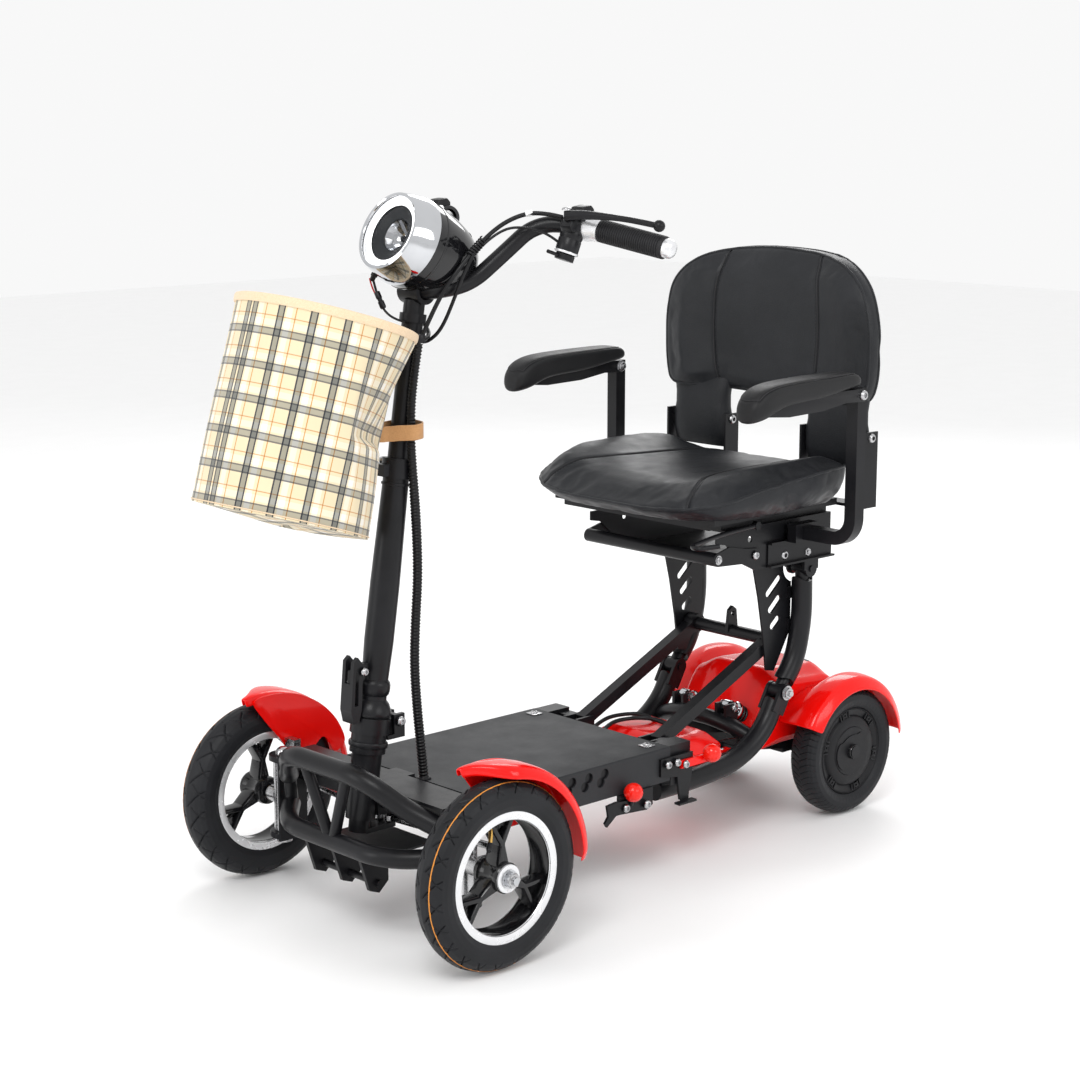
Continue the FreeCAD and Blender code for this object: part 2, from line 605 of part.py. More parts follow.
def armrest_frames():
    """Square uprights of the armrests, rooted in sockets on the seat base."""
    bend = V(0, 214, 498)
    quarter = Part.makeCylinder(42, 20, V(-721, bend.y, bend.z), X, 90)
    quarter = quarter.cut(Part.makeCylinder(22, 30, V(-730, bend.y, bend.z), X))
    quarter.rotate(V(-721, bend.y, bend.z), X, 180)
    upright = box(-721, -701, 236, 256, bend.z, 690)
    foot = box(-721, -701, 141.2, bend.y, 456, 476)
    socket = box(-736, -686, 141.2, 158, 452, 479.5)
    whole = fuse([upright, foot, quarter, socket])
    return both(whole.cut(rod(V(ARM_PIN.x, 220, ARM_PIN.z), V(ARM_PIN.x, 270, ARM_PIN.z), 5 + RUN)))


def armrest_pad():
    """Left armrest: soft pad on a channel whose cheeks hold the pivot bolt."""
    pad = box(-690, -475, 217, 262, 690.5, 716)
    pad = pad.makeFillet(9, [e for e in pad.Edges if e.BoundBox.ZMin > 715 or e.BoundBox.ZLength > 20])
    channel = box(-698, -486, 232.2, 259.8, 676, 690.5)
    cheeks = []
    for y0 in (232.2, 256.3):
        cheeks.append(box(-712, -690, y0, y0 + 3.5, 672, 690.5))
        cheeks.append(rod(V(ARM_PIN.x, y0, ARM_PIN.z), V(ARM_PIN.x, y0 + 3.5, ARM_PIN.z), 10))
    channel = channel.cut(box(-730, -694, 235.7, 256.3, 660, 700))
    bolt = rod(V(ARM_PIN.x, 230, ARM_PIN.z), V(ARM_PIN.x, 262, ARM_PIN.z), 5)
    return fuse([pad, channel, bolt] + cheeks)


def seat_pan():
    """Sliding pan with the four backrest hinge plates and their pins."""
    pan = box(-815, -505, -150, 150, 497.3, 502).fuse(box(-508, -505, -150, 150, 493, 500))
    board = box(-770, -500, -165, 165, 502, 512)
    plates = []
    for y0 in (76, 199.6):
        plates.append(box(-815, -785, y0, y0 + 4, 497.3, 612))
    wing = box(-815, -785, 150, 203.6, 497.3, 502)
    pin = rod(V(BACK_PIN.x, 74, BACK_PIN.z), V(BACK_PIN.x, 206, BACK_PIN.z), 5)
    half = plates + [pin, wing]
    return fuse([pan, board] + half + [mirrored(piece) for piece in half])


def cushion():
    pad = box(-774, -432, -CUSHION_HALF, CUSHION_HALF, 512.3, 562)
    corners = [e for e in pad.Edges if e.BoundBox.ZLength > 40]
    pad = pad.makeFillet(90, [e for e in corners if e.BoundBox.XMin > -500])
    return pad.makeFillet(14, [e for e in pad.Edges if e.BoundBox.ZMin > 561])


def backrest_legs():
    """Hinge legs below the backrest cushion."""
    leg = box(-815, -785, 82, 198, 590, 655)
    leg = leg.cut(rod(V(BACK_PIN.x, 70, BACK_PIN.z), V(BACK_PIN.x, 210, BACK_PIN.z), 5 + RUN))
    return both(leg)


def backrest():
    """Backrest cushion with an arched top, on its two hinge legs."""
    arc = Part.Arc(V(0, -170, 846), V(0, 0, 881), V(0, 170, 846)).toShape()
    left = Part.Arc(V(0, 170, 846), V(0, 196, 830), V(0, 205, 800)).toShape()
    right = Part.Arc(V(0, -205, 800), V(0, -196, 830), V(0, -170, 846)).toShape()
    lines = [V(0, 205, 800), V(0, 212, 680), V(0, 190, 655.2), V(0, -190, 655.2), V(0, -212, 680), V(0, -205, 800)]
    edges = [arc, left] + [Part.LineSegment(a, b).toShape() for a, b in zip(lines, lines[1:])] + [right]
    face = Part.Face(Part.Wire(edges))
    pad = face.extrude(V(-50, 0, 0))
    pad.translate(V(-776, 0, 0))
    return pad.fuse(backrest_legs())


def slide_lever():
    """Wire lever at the front left that frees the seat slide."""
    wire = bent_rod([V(-600, 156, 490), V(-520, 156, 486), V(-446, 170, 481), V(-440, 188, 481),
                     V(-470, 202, 483)], 3.5)
    eye = rod(V(-600, 151.2, 490), V(-600, 160, 490), 6)
    return wire.fuse(eye)


# ---------------------------------------------------------------- tiller
def column_tube():
    """Outer tube of the folding column with its tongue on the fold pin."""
    heights = [(262.3, 27), (284, 27), (284, 23), (294, 22), (304, 17.5), (318, 17.5), (318, 19), (330, 19),
               (330, 18), (386, 20), (465, 20), (598, 17.6), (604, 17.6), (604, 21), (630, 21)]
    slope = math.sqrt(1 + RAKE_SLOPE ** 2)
    profile = [(r, (z - RAKE_Z) * slope) for z, r in heights]
    profile = [(0, profile[0][1])] + profile + [(0, profile[-1][1])]
    tube = turned(profile, rake(RAKE_Z), RAKE_AXIS)
    bore = rod(rake(440), rake(640), STEM_R + RUN)
    tongue = plate([(-41, 264), (-20, 264.5), (-20, 282), (-41, 282)], -7.6, 7.6)
    tongue = tongue.fuse(rod(V(FOLD_PIN.x, -7.6, FOLD_PIN.z), V(FOLD_PIN.x, 7.6, FOLD_PIN.z), 9))
    lug = box(-42, -24, -8, 8, 609, 625)
    catch = box(-4, 24, -5, 5, 344, 360).cut(rod(V(19, -9, 352), V(19, 9, 352), 3.5 + RUN))
    flange_slots = fuse([box(-60, -22, 7.8, 14.2, 240, 300), box(-60, -22, -14.2, -7.8, 240, 300)])
    whole = fuse([tube.cut(flange_slots), tongue, lug, catch]).cut(bore)
    return whole.cut(rod(V(FOLD_PIN.x, -20, FOLD_PIN.z), V(FOLD_PIN.x, 20, FOLD_PIN.z), 4 + RUN))


def tiller_latch():
    """Over-centre latch on the front of the column, hinged at its upper end."""
    body = plate([(14, 356), (27, 372), (34, 366), (40, 300), (36, 282), (27, 282), (22, 300), (20, 336)], -12, 12)
    slot = plate([(26, 352), (31, 352), (34, 306), (28, 306)], -20, 20)
    throat = box(-2, 45, -5.4, 5.4, 336, 375)
    body = body.cut(slot).cut(throat)
    bolt = rod(V(19, -15, 352), V(19, 15, 352), 3.5)
    return body.fuse(bolt)


def clamp_lever():
    """Quick-release lever of the height clamp, on the rider's right."""
    pivot = rod(V(-53, -29, 610), V(-53, -29, 624), 5)
    blade = box(-108, -53, -33, -26, 613, 621)
    return pivot.fuse(blade)


def stem_tube():
    """Sliding inner tube with the handlebar clamp on top."""
    tube = pipe(rake(470), rake(838), STEM_R, 12)
    clamp = rod(V(BAR_CENTRE.x, -20, BAR_CENTRE.z), V(BAR_CENTRE.x, 20, BAR_CENTRE.z), 17)
    clamp = clamp.cut(rod(V(BAR_CENTRE.x, -30, BAR_CENTRE.z), V(BAR_CENTRE.x, 30, BAR_CENTRE.z), BAR_R))
    ring = pipe(rake(809), rake(821), 18, 12)
    return fuse([tube.cut(rod(V(BAR_CENTRE.x, -30, BAR_CENTRE.z), V(BAR_CENTRE.x, 30, BAR_CENTRE.z), 14)),
                 clamp, ring])


BAR_HALF = [V(-90, 25, 850), V(-147, 42, 858), V(-187, 62, 896), V(-221, 92, 938), V(-262, 138, 935),
            V(-293, 262, 910)]


def handlebar():
    """Swept-back riser bar, open at both ends."""
    return bent_rod(mirror_route(BAR_HALF), BAR_R)


def grip_axis():
    end = BAR_HALF[-1]
    direction = BAR_HALF[-2] - end
    direction.normalize()
    return end, direction


def grips():
    """Rubber grips with end caps."""
    end, inward = grip_axis()
    sleeve = pipe(end, end + inward * 100, 15.5, BAR_R + 0.02)
    cap = rod(end, end - inward * 12, 12.5)
    return both(fuse([sleeve, cap]))


def control_pods():
    """Lever perches, switch box and round throttle housing, clamped on the bar by the grips."""
    end, inward = grip_axis()
    perch = rod(end + inward * 110, end + inward * 124, 16)
    block = box(-266, -242, 134, 156, 940, 962)
    ear = box(-246, -226, 130, 152, 928, 941)
    housing = rod(POD_HEAD, POD_FOOT, 15)
    bar = bent_rod(BAR_HALF, BAR_R)
    pods = fuse([perch, block, ear, housing]).cut(bar)
    return both(pods)


def brake_lever():
    """Left brake lever, hinged in front of its perch, with a ball end."""
    blade = bent_rod([V(-229, 142, 951), V(-236, 170, 951), V(-262, 215, 947), V(-280, 262, 939)], 4.5)
    ball = Part.makeSphere(8, V(-280, 262, 939))
    pivot = rod(V(-229, 142, 941.3), V(-229, 142, 957), 6)
    return fuse([blade, ball, pivot])


def throttle_lever():
    """Thumb lever on the left round housing."""
    down = POD_FOOT - POD_HEAD
    down.normalize()
    back = down.cross(Y)
    back.normalize()
    hub = rod(POD_FOOT + down * GAP, POD_FOOT + down * 8, 13)
    thumb = rod(POD_FOOT + down * 4, POD_FOOT + down * 4 + back * 32, 2.5)
    return hub.fuse(thumb)


def lamp_axis():
    tilt = math.radians(LAMP_TILT)
    return V(math.cos(tilt), 0, math.sin(tilt))


def lamp_profile(points):
    return turned(points, LAMP_FRONT, lamp_axis())


def headlight_housing():
    """Rounded lamp shell behind the bezel, hollow, cut away round the bar clamp."""
    outer = [(0, -142), (30, -138), (47, -118), (57, -86), (60, -58), (60.5, -36.3), (46, -36.3), (46, -40),
             (55, -58), (52, -85), (43, -114), (27, -132), (0, -136)]
    shell = lamp_profile(outer)
    shell = shell.cut(rod(V(BAR_CENTRE.x, -20.4, BAR_CENTRE.z), V(BAR_CENTRE.x, 20.4, BAR_CENTRE.z), 17.4))
    shell = shell.cut(bent_rod(mirror_route(BAR_HALF), BAR_R + 0.4))
    return shell.cut(rod(rake(780), rake(860), 18.2))


def headlight_bezel():
    """Bright flared ring round the lens."""
    return lamp_profile([(48, -36), (62, -36), (60, -18), (54, 0), (50, 3), (47, 0), (47, -8), (48, -8)])


def headlight_lens():
    """Clear front lens with its reflector cup behind."""
    lens = lamp_profile([(0, -3), (46.8, -5), (46.8, -9), (0, -7)])
    cup = lamp_profile([(46.8, -9), (46.8, -12), (24, -34), (0, -38), (0, -34), (22, -30), (43, -9)])
    return lens.fuse(cup)


def basket():
    """Open fabric basket with a rim, and the strap that holds it to the stem."""
    axis = BASKET_TOP - BASKET_BOTTOM
    height = axis.Length
    axis.normalize()
    shell = rod(BASKET_BOTTOM, BASKET_TOP, BASKET_R).cut(
        rod(BASKET_BOTTOM + axis * 5, BASKET_TOP + axis * 5, BASKET_R - 4))
    rim = pipe(BASKET_TOP - axis * 13, BASKET_TOP, BASKET_R + 1.5, BASKET_R - 5)
    strap = box(-81, 2, -18.5, 32.5, 658, 679).cut(box(-77.5, -14, -15.5, 29.6, 650, 690))
    inside = rod(BASKET_BOTTOM + axis * 5, BASKET_TOP + axis * height, BASKET_R - 4)
    return fuse([shell, rim, strap]).cut(inside)


def conduit():
    """Ribbed cable conduit from the stem down behind the column into the deck."""
    return cord("conduit", CONDUIT, 5.7)


def bar_cables():
    """Cable runs on the handlebar, the sleeves that gather them, and the socket on the stem."""
    sleeve = pipe(SLEEVE_TOP, SLEEVE_FOOT, 7.4, 3)
    left = cord("left bundle", BUNDLE + BUNDLE_LEFT, 3)
    right = cord("right bundle", [V(p.x, -p.y, p.z) for p in BUNDLE] + BUNDLE_RIGHT, 3)
    thin = cord("switch cable", THIN_CABLE, 1.8)
    loop = cord("cross-over cable", mirror_route(CROSS_CABLE), 2.5)
    lead = cord("lamp lead", LAMP_LEAD, 1.6)
    socket = rod(V(-75.7, 21.5, 784), V(-77.5, 21.5, 796), 8).cut(rod(rake(700), rake(850), STEM_R))
    sleeves = both(sleeve)
    thin = both(thin.cut(sleeve).cut(left).cut(control_pods()))
    bundles = group([left.cut(socket), right.cut(socket)]).cut(control_pods())
    return group([sleeves, socket, bundles, thin, loop.cut(sleeves).cut(bundles), lead])


# ---------------------------------------------------------------- folding latches behind the deck
def front_latch_lever():
    """Hook lever with a ball knob under the deck's left side."""
    hook = plate([(-300, 128), (-318, 130), (-352, 126), (-352, 110), (-318, 110), (-310, 104), (-300, 97),
                  (-296, 103), (-303, 112)], 149, 153)
    hook = hook.cut(rod(V(HOOK_PIN.x, 140, HOOK_PIN.z), V(HOOK_PIN.x, 160, HOOK_PIN.z), 4 + RUN))
    stalk = rod(V(-347, 152.5, 121), V(-345, 158, 134), 4)
    ball = Part.makeSphere(13.5, V(-344, 161, 141))
    return fuse([hook, stalk, ball])


def rear_latch_lever():
    """Ball-knob lever that locks the left brace foot."""
    bar = box(-512, -450, 149.7, 153.7, 152, 164)
    bar = bar.cut(rod(V(LOCK_PIN.x, 140, LOCK_PIN.z), V(LOCK_PIN.x, 160, LOCK_PIN.z), 4 + RUN))
    stalk = rod(V(-504, 151, 158), V(-504, 158, 163), 4)
    ball = Part.makeSphere(13.5, V(-504, 163, 167))
    return fuse([bar, stalk, ball])


def latch_plates():
    """Fixed plates, bolts and folding foot on the left side behind the deck."""
    upper = plate([(-412, 172), (-478, 172), (-478, 150), (-470, 108), (-452, 104), (-446, 140), (-412, 146)],
                  145.3, 149.3)
    lower = plate([(-330, 135.7), (-396, 135.7), (-396, 110), (-384, 104), (-330, 108)], 141.6, 148.6)
    foot = box(-476, -440, 149.3, 160, 100, 103).fuse(box(-470, -456, 145.3, 149.3, 100, 112))
    bolts = [rod(V(x, 149.3, z), V(x, 153, z), 5) for x, z in ((-423, 163), (-442, 163))]
    pivots = [rod(V(-380, 148.6, 114), V(-380, 153, 114), 5.5),
              rod(V(HOOK_PIN.x, 148.6, HOOK_PIN.z), V(HOOK_PIN.x, 155, HOOK_PIN.z), 4),
              rod(V(LOCK_PIN.x, 149.3, LOCK_PIN.z), V(LOCK_PIN.x, 155.5, LOCK_PIN.z), 4)]
    hanger = box(-478, -436, 124.5, 145.3, 128, 140.8)
    return fuse([upper, lower, foot, hanger] + pivots + bolts)


# ---------------------------------------------------------------- write the pieces
def save_pair(name, left):
    save(name + "_left", left)
    save(name + "_right", mirrored(left))


def save_chassis():
    beam = front_cross_beam().cut(deck_frame())
    bumper = front_bumper()
    tubes = rear_side_tubes()
    bolts = [kingpins(), deck_screws()]
    save("deck_plate", deck_plate())
    save("deck_frame", deck_frame())
    save("battery_pack", battery_pack())
    save("front_cross_beam", beam)
    save("front_bumper", bumper.cut(beam))
    save("chassis_bolts", group(bolts))
    save("skid_bracket", skid_bracket().cut(bumper).cut(beam))
    save("rear_side_tubes", tubes)
    save("rear_arch", rear_arch(tubes))
    save("deck_rear_brackets", deck_rear_brackets().cut(tubes))
    save("controller_cover", controller_cover())
    save("shock_rods", shock_rods())
    save("shock_springs", shock_springs())
    save("front_latch_lever", front_latch_lever())
    save("rear_latch_lever", rear_latch_lever())


def save_running_gear():
    tyre = front_tyre()
    shocks = shock_bodies()
    save("steerer_tube", steerer_tube())
    save_pair("tie_rod", tie_rod())
    save_pair("knuckle", knuckle())
    save_pair("front_fender", front_fender())
    save_pair("front_tyre", tyre)
    save_pair("front_wheel", front_wheel().cut(tyre))
    save_pair("rear_tyre", rear_tyre())
    save_pair("rear_hub", rear_hub())
    save("shock_bodies", shocks)
    save("swing_frame", swing_frame(shocks))
    save("rear_cowling", rear_cowling())


def save_seat():
    save("seat_posts", seat_posts())
    save("braces", both(brace()))
    save("seat_base", seat_base())
    save("release_bar", release_bar())
    save("armrest_frames", armrest_frames())
    save_pair("armrest_pad", armrest_pad())
    save("seat_pan", seat_pan())
    save("cushion", cushion())
    save("slide_lever", slide_lever())
    save("backrest", backrest())


def save_tiller():
    bar = handlebar()
    save("column_tube", column_tube())
    save("tiller_latch", tiller_latch())
    save("clamp_lever", clamp_lever())
    save("stem_tube", stem_tube())
    save("handlebar", bar)
    save("grips", grips())
    save("control_pods", control_pods())
    save_pair("brake_lever", brake_lever())
    save("throttle_lever", throttle_lever())
    save("headlight_housing", headlight_housing())
    save("headlight_bezel", headlight_bezel())
    save("headlight_lens", headlight_lens())
    save("basket", basket().cut(rod(rake(600), rake(720), STEM_R)))
    save("conduit", conduit())
    save("bar_cables", bar_cables())


def main():
    os.makedirs("parts", exist_ok=True)
    save_chassis()
    save_running_gear()
    save_seat()
    save_tiller()
    for name, shape in written:
        if not shape.isValid() or shape.Volume < 10:
            print("check", name, shape.isValid(), round(shape.Volume))
    whole = Part.makeCompound([shape for name, shape in written]).BoundBox
    print("nodes", len(written), "x", round(whole.XMin, 1), round(whole.XMax, 1), "y", round(whole.YMin, 1),
          round(whole.YMax, 1), "z", round(whole.ZMin, 1), round(whole.ZMax, 1))


main()
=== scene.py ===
"""Looks of the folding mobility scooter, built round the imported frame.

Lengths in this file are millimetres, measured like the design: x from the front axle (+ is ahead of it),
y from the centre plane (+ is the rider's left), z from the ground. mm() turns them into the frame's metres.
"""
import json
import math

import bmesh
import bpy
import numpy as np
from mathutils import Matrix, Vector
from mathutils.bvhtree import BVHTree


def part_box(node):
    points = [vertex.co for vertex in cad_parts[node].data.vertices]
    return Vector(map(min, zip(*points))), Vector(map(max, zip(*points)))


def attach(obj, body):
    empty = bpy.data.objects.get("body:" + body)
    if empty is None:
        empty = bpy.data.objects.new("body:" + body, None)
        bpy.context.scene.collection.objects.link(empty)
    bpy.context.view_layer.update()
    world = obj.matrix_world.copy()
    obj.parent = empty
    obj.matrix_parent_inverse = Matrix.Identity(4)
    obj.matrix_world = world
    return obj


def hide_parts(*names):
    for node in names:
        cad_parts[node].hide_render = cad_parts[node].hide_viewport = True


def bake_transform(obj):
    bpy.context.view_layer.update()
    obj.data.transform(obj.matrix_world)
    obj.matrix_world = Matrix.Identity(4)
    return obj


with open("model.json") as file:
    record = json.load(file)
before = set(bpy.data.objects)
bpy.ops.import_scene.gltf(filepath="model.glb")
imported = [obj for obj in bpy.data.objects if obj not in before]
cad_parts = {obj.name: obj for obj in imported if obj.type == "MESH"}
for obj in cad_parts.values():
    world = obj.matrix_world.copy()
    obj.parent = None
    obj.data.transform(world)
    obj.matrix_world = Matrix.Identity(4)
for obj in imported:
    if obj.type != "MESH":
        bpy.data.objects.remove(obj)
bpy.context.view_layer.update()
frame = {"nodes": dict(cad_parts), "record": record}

HALF_MM = 500  # half of a length in metres, in mm
wheel_low, wheel_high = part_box("front_wheel_left")
front_low, front_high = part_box("front_tyre_left")
rear_low, rear_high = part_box("rear_tyre_left")
AXLE = (wheel_low.x + wheel_high.x) / 2
FRONT_R = (front_high.z - front_low.z) * HALF_MM
FRONT_Y = (wheel_low.y + wheel_high.y) * HALF_MM
REAR_R = (rear_high.z - rear_low.z) * HALF_MM
REAR_X = ((rear_low.x + rear_high.x) / 2 - AXLE) * 1000
REAR_Y = (rear_low.y + rear_high.y) * HALF_MM
DECK_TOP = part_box("deck_plate")[1].z * 1000
SIDES = {"left": 1, "right": -1}
TAU = 2 * math.pi
MATERIALS = {}


def mm(x, y, z):
    """Point of the frame, in metres, from the design's millimetres."""
    return Vector((AXLE + x / 1000, y / 1000, z / 1000))


# ---------------------------------------------------------------- camera, light, floor
def make_camera():
    """Camera at the photograph's viewing angle."""
    camera = bpy.data.objects.new("camera", bpy.data.cameras.new("camera"))
    bpy.context.scene.collection.objects.link(camera)
    camera.location = mm(1847.7, 2316.6, 1104.2)
    camera.rotation_euler = (math.radians(90 - 11.071), 0, math.radians(180 - 43.021))
    camera.data.sensor_width = 36
    camera.data.lens = 75.72
    bpy.context.scene.camera = camera


def area_light(name, place, target, size, watts):
    """Soft rectangular light aimed at a point."""
    data = bpy.data.lights.new(name, "AREA")
    data.shape = "RECTANGLE"
    data.size, data.size_y = size
    data.energy = watts
    light = bpy.data.objects.new(name, data)
    bpy.context.scene.collection.objects.link(light)
    light.location = place
    light.rotation_euler = (Vector(target) - Vector(place)).to_track_quat("-Z", "Y").to_euler()


LIGHTS = {"key_light": ((2.4, 1.6, 3.2), (0, 0, 0.4), (1.5, 1.5), 54),
          "side_light": ((-0.4, 3.6, 1.9), (-0.1, 0, 0.4), (2.0, 1.2), 26),
          "front_light": ((3.8, -1.0, 1.5), (0, 0, 0.4), (1.2, 2.0), 22),
          "back_light": ((-2.8, -1.8, 2.4), (-0.2, 0, 0.5), (1.8, 1.2), 34)}
FLOOR_HALF = 9


def make_studio():
    """Four soft lights, a pale world and a plain pale floor."""
    for name, (place, target, size, watts) in LIGHTS.items():
        area_light(name, place, target, size, watts)
    world = bpy.data.worlds.new("studio")
    bpy.context.scene.world = world
    world.use_nodes = True
    background = world.node_tree.nodes["Background"]
    background.inputs["Color"].default_value = (1.0, 1.0, 1.0, 1)
    background.inputs["Strength"].default_value = 0.94
    bpy.context.scene.view_settings.view_transform = "Standard"
    mesh = bpy.data.meshes.new("floor")
    corners = ((-1, -1), (1, -1), (1, 1), (-1, 1))
    mesh.from_pydata([(x * FLOOR_HALF, y * FLOOR_HALF, 0) for x, y in corners], [], [(0, 1, 2, 3)])
    floor = bpy.data.objects.new("floor", mesh)
    bpy.context.scene.collection.objects.link(floor)
    floor.data.materials.append(surface("floor_white", (0.94, 0.94, 0.94), (0.96, 0.96, 0.96), (0.6, 0.7)))


# ---------------------------------------------------------------- materials
def new_material(name):
    """Material, its node tree and its shader."""
    material = bpy.data.materials.new(name)
    material.use_nodes = True
    return material, material.node_tree, material.node_tree.nodes["Principled BSDF"]


def fill(tree, node, values):
    """Link or set a node's inputs, given by name or number."""
    for key, value in values.items():
        if isinstance(value, bpy.types.NodeSocket):
            tree.links.new(value, node.inputs[key])
        else:
            node.inputs[key].default_value = value


def add(tree, kind, values, **settings):
    """New shader node of a kind, with its inputs and settings."""
    node = tree.nodes.new("ShaderNode" + kind)
    for name, value in settings.items():
        setattr(node, name, value)
    fill(tree, node, values)
    return node


def noise(tree, scale, detail=3.0, roughness=0.6):
    """Noise value in the object's own coordinates."""
    place = add(tree, "TexCoord", {})
    return add(tree, "TexNoise", {"Scale": scale, "Detail": detail, "Roughness": roughness,
                                  "Vector": place.outputs["Object"]}).outputs["Fac"]


def ramp(tree, source, stops, mode="LINEAR"):
    """Colour over a value; a stop is (place, colour)."""
    made = add(tree, "ValToRGB", {"Fac": source})
    made.color_ramp.interpolation = mode
    while len(made.color_ramp.elements) < len(stops):
        made.color_ramp.elements.new(0.5)
    for element, (place, colour) in zip(made.color_ramp.elements, stops):
        element.position = place
        element.color = (*colour, 1)
    return made.outputs["Color"]


def uneven(tree, source, low, high):
    """A value between low and high that follows a noise."""
    span = {"From Min": 0.3, "From Max": 0.7, "To Min": low, "To Max": high, "Value": source}
    return add(tree, "MapRange", span).outputs["Result"]


def bump(tree, height, distance, strength=1.0, under=None):
    """Normal of a bump of some distance in mm, over another where under is given."""
    values = {"Strength": strength, "Distance": distance / 1000, "Height": height}
    if under:
        values["Normal"] = under
    return add(tree, "Bump", values).outputs["Normal"]


def surface(name, dark, light, rough, metallic=0.0, coat=0.0, tone=9.0, grain=1500.0, depth=0.0, shine=0.5):
    """Paint, metal or plastic: two close tones, uneven gloss and a fine grain of some depth in mm."""
    material, tree, shader = new_material(name)
    fill(tree, shader, {"Base Color": ramp(tree, noise(tree, tone, 4.0), [(0.3, dark), (0.7, light)]),
                        "Roughness": uneven(tree, noise(tree, tone * 4, 5.0), *rough), "Metallic": metallic,
                        "Specular IOR Level": shine, "Coat Weight": coat, "Coat Roughness": 0.05})
    if depth:
        fill(tree, shader, {"Normal": bump(tree, noise(tree, grain, 2.0), depth)})
    return material


def leather(name):
    """Black vinyl leather: pebbled cells, soft creases and worn, slightly glossier patches."""
    material, tree, shader = new_material(name)
    place = add(tree, "TexCoord", {}).outputs["Object"]
    cells = add(tree, "TexVoronoi", {}, feature="SMOOTH_F1")
    fill(tree, cells, {"Scale": 620, "Smoothness": 0.35, "Vector": place})
    creases = noise(tree, 26, 6.0, 0.55)
    tones = [(0.3, (0.010, 0.011, 0.013)), (0.7, (0.017, 0.018, 0.021))]
    wide = bump(tree, creases, 1.4, 0.5)
    fill(tree, shader, {"Base Color": ramp(tree, noise(tree, 7, 4.0), tones),
                        "Roughness": uneven(tree, creases, 0.38, 0.52), "Specular IOR Level": 0.28,
                        "Normal": bump(tree, cells.outputs["Distance"], 0.22, 0.6, wide)})
    return material


def cast_metal(name):
    """Bright turned metal for rims, collars and caps."""
    material, tree, shader = new_material(name)
    lines = noise(tree, 45, 2.0)
    tones = [(0.3, (0.74, 0.745, 0.76)), (0.7, (0.80, 0.805, 0.82))]
    fill(tree, shader, {"Base Color": ramp(tree, lines, tones), "Roughness": uneven(tree, lines, 0.22, 0.30),
                        "Metallic": 0.55})
    return material


SETT = 43.0  # the plaid repeats after this many mm
CREAM, PALE, GREY = (0.85, 0.77, 0.60), (0.91, 0.89, 0.85), (0.33, 0.33, 0.30)
SLATE, OCHRE = (0.035, 0.038, 0.055), (0.62, 0.30, 0.08)
STRIPES = [(0.0, CREAM), (0.05, SLATE), (0.095, GREY), (0.24, SLATE), (0.285, CREAM), (0.34, PALE),
           (0.52, CREAM), (0.62, OCHRE), (0.65, CREAM)]


def plaid(name):
    """Woven cream plaid of a plain, generic sett: a grey band edged with slate, and one ochre line."""
    material, tree, shader = new_material(name)
    at = add(tree, "UVMap", {}, uv_map="cloth").outputs["UV"]
    split = add(tree, "SeparateXYZ", {"Vector": at})
    threads, weave = [], []
    for axis in "XY":
        scaled = add(tree, "Math", {0: split.outputs[axis], 1: 1000 / SETT}, operation="MULTIPLY")
        part = add(tree, "Math", {0: scaled.outputs["Value"]}, operation="FRACT")
        threads.append(ramp(tree, part.outputs["Value"], STRIPES, "CONSTANT"))
        wave = {"Scale": 260, "Distortion": 0.6, "Detail Scale": 3, "Vector": at}
        weave.append(add(tree, "TexWave", wave, bands_direction=axis).outputs["Fac"])
    mix = add(tree, "Mix", {}, data_type="RGBA", blend_type="MULTIPLY")
    fill(tree, mix, {"Factor": 0.86, 6: threads[0], 7: threads[1]})
    lift = add(tree, "Gamma", {"Gamma": 0.92, "Color": mix.outputs[2]})
    woven = add(tree, "Math", {0: weave[0], 1: weave[1]}, operation="ADD")
    soft = noise(tree, 30, 4.0)
    wide = bump(tree, soft, 1.5, 0.5)
    fill(tree, shader, {"Base Color": lift.outputs["Color"], "Roughness": uneven(tree, soft, 0.75, 0.9),
                        "Sheen Weight": 0.25, "Normal": bump(tree, woven.outputs["Value"], 0.25, 0.6, wide)})
    return material


def webbing(name, dark, light):
    """Tightly woven tape or felt-like binding."""
    material, tree, shader = new_material(name)
    fibres = noise(tree, 700, 3.0, 0.7)
    fill(tree, shader, {"Base Color": ramp(tree, fibres, [(0.35, dark), (0.65, light)]),
                        "Roughness": uneven(tree, fibres, 0.78, 0.92), "Sheen Weight": 0.2,
                        "Normal": bump(tree, fibres, 0.3)})
    return material


def glow(name, colour, strength):
    """Evenly lit plastic."""
    material, tree, shader = new_material(name)
    fill(tree, shader, {"Base Color": (*colour, 1), "Emission Color": (*colour, 1),
                        "Emission Strength": strength, "Roughness": 0.4})
    return material


def clear(name):
    """Clear lens, almost without a tint."""
    material, tree, shader = new_material(name)
    fill(tree, shader, {"Base Color": (0.03, 0.035, 0.04, 1), "Roughness": 0.03, "Alpha": 0.10,
                        "Specular IOR Level": 0.15})
    return material


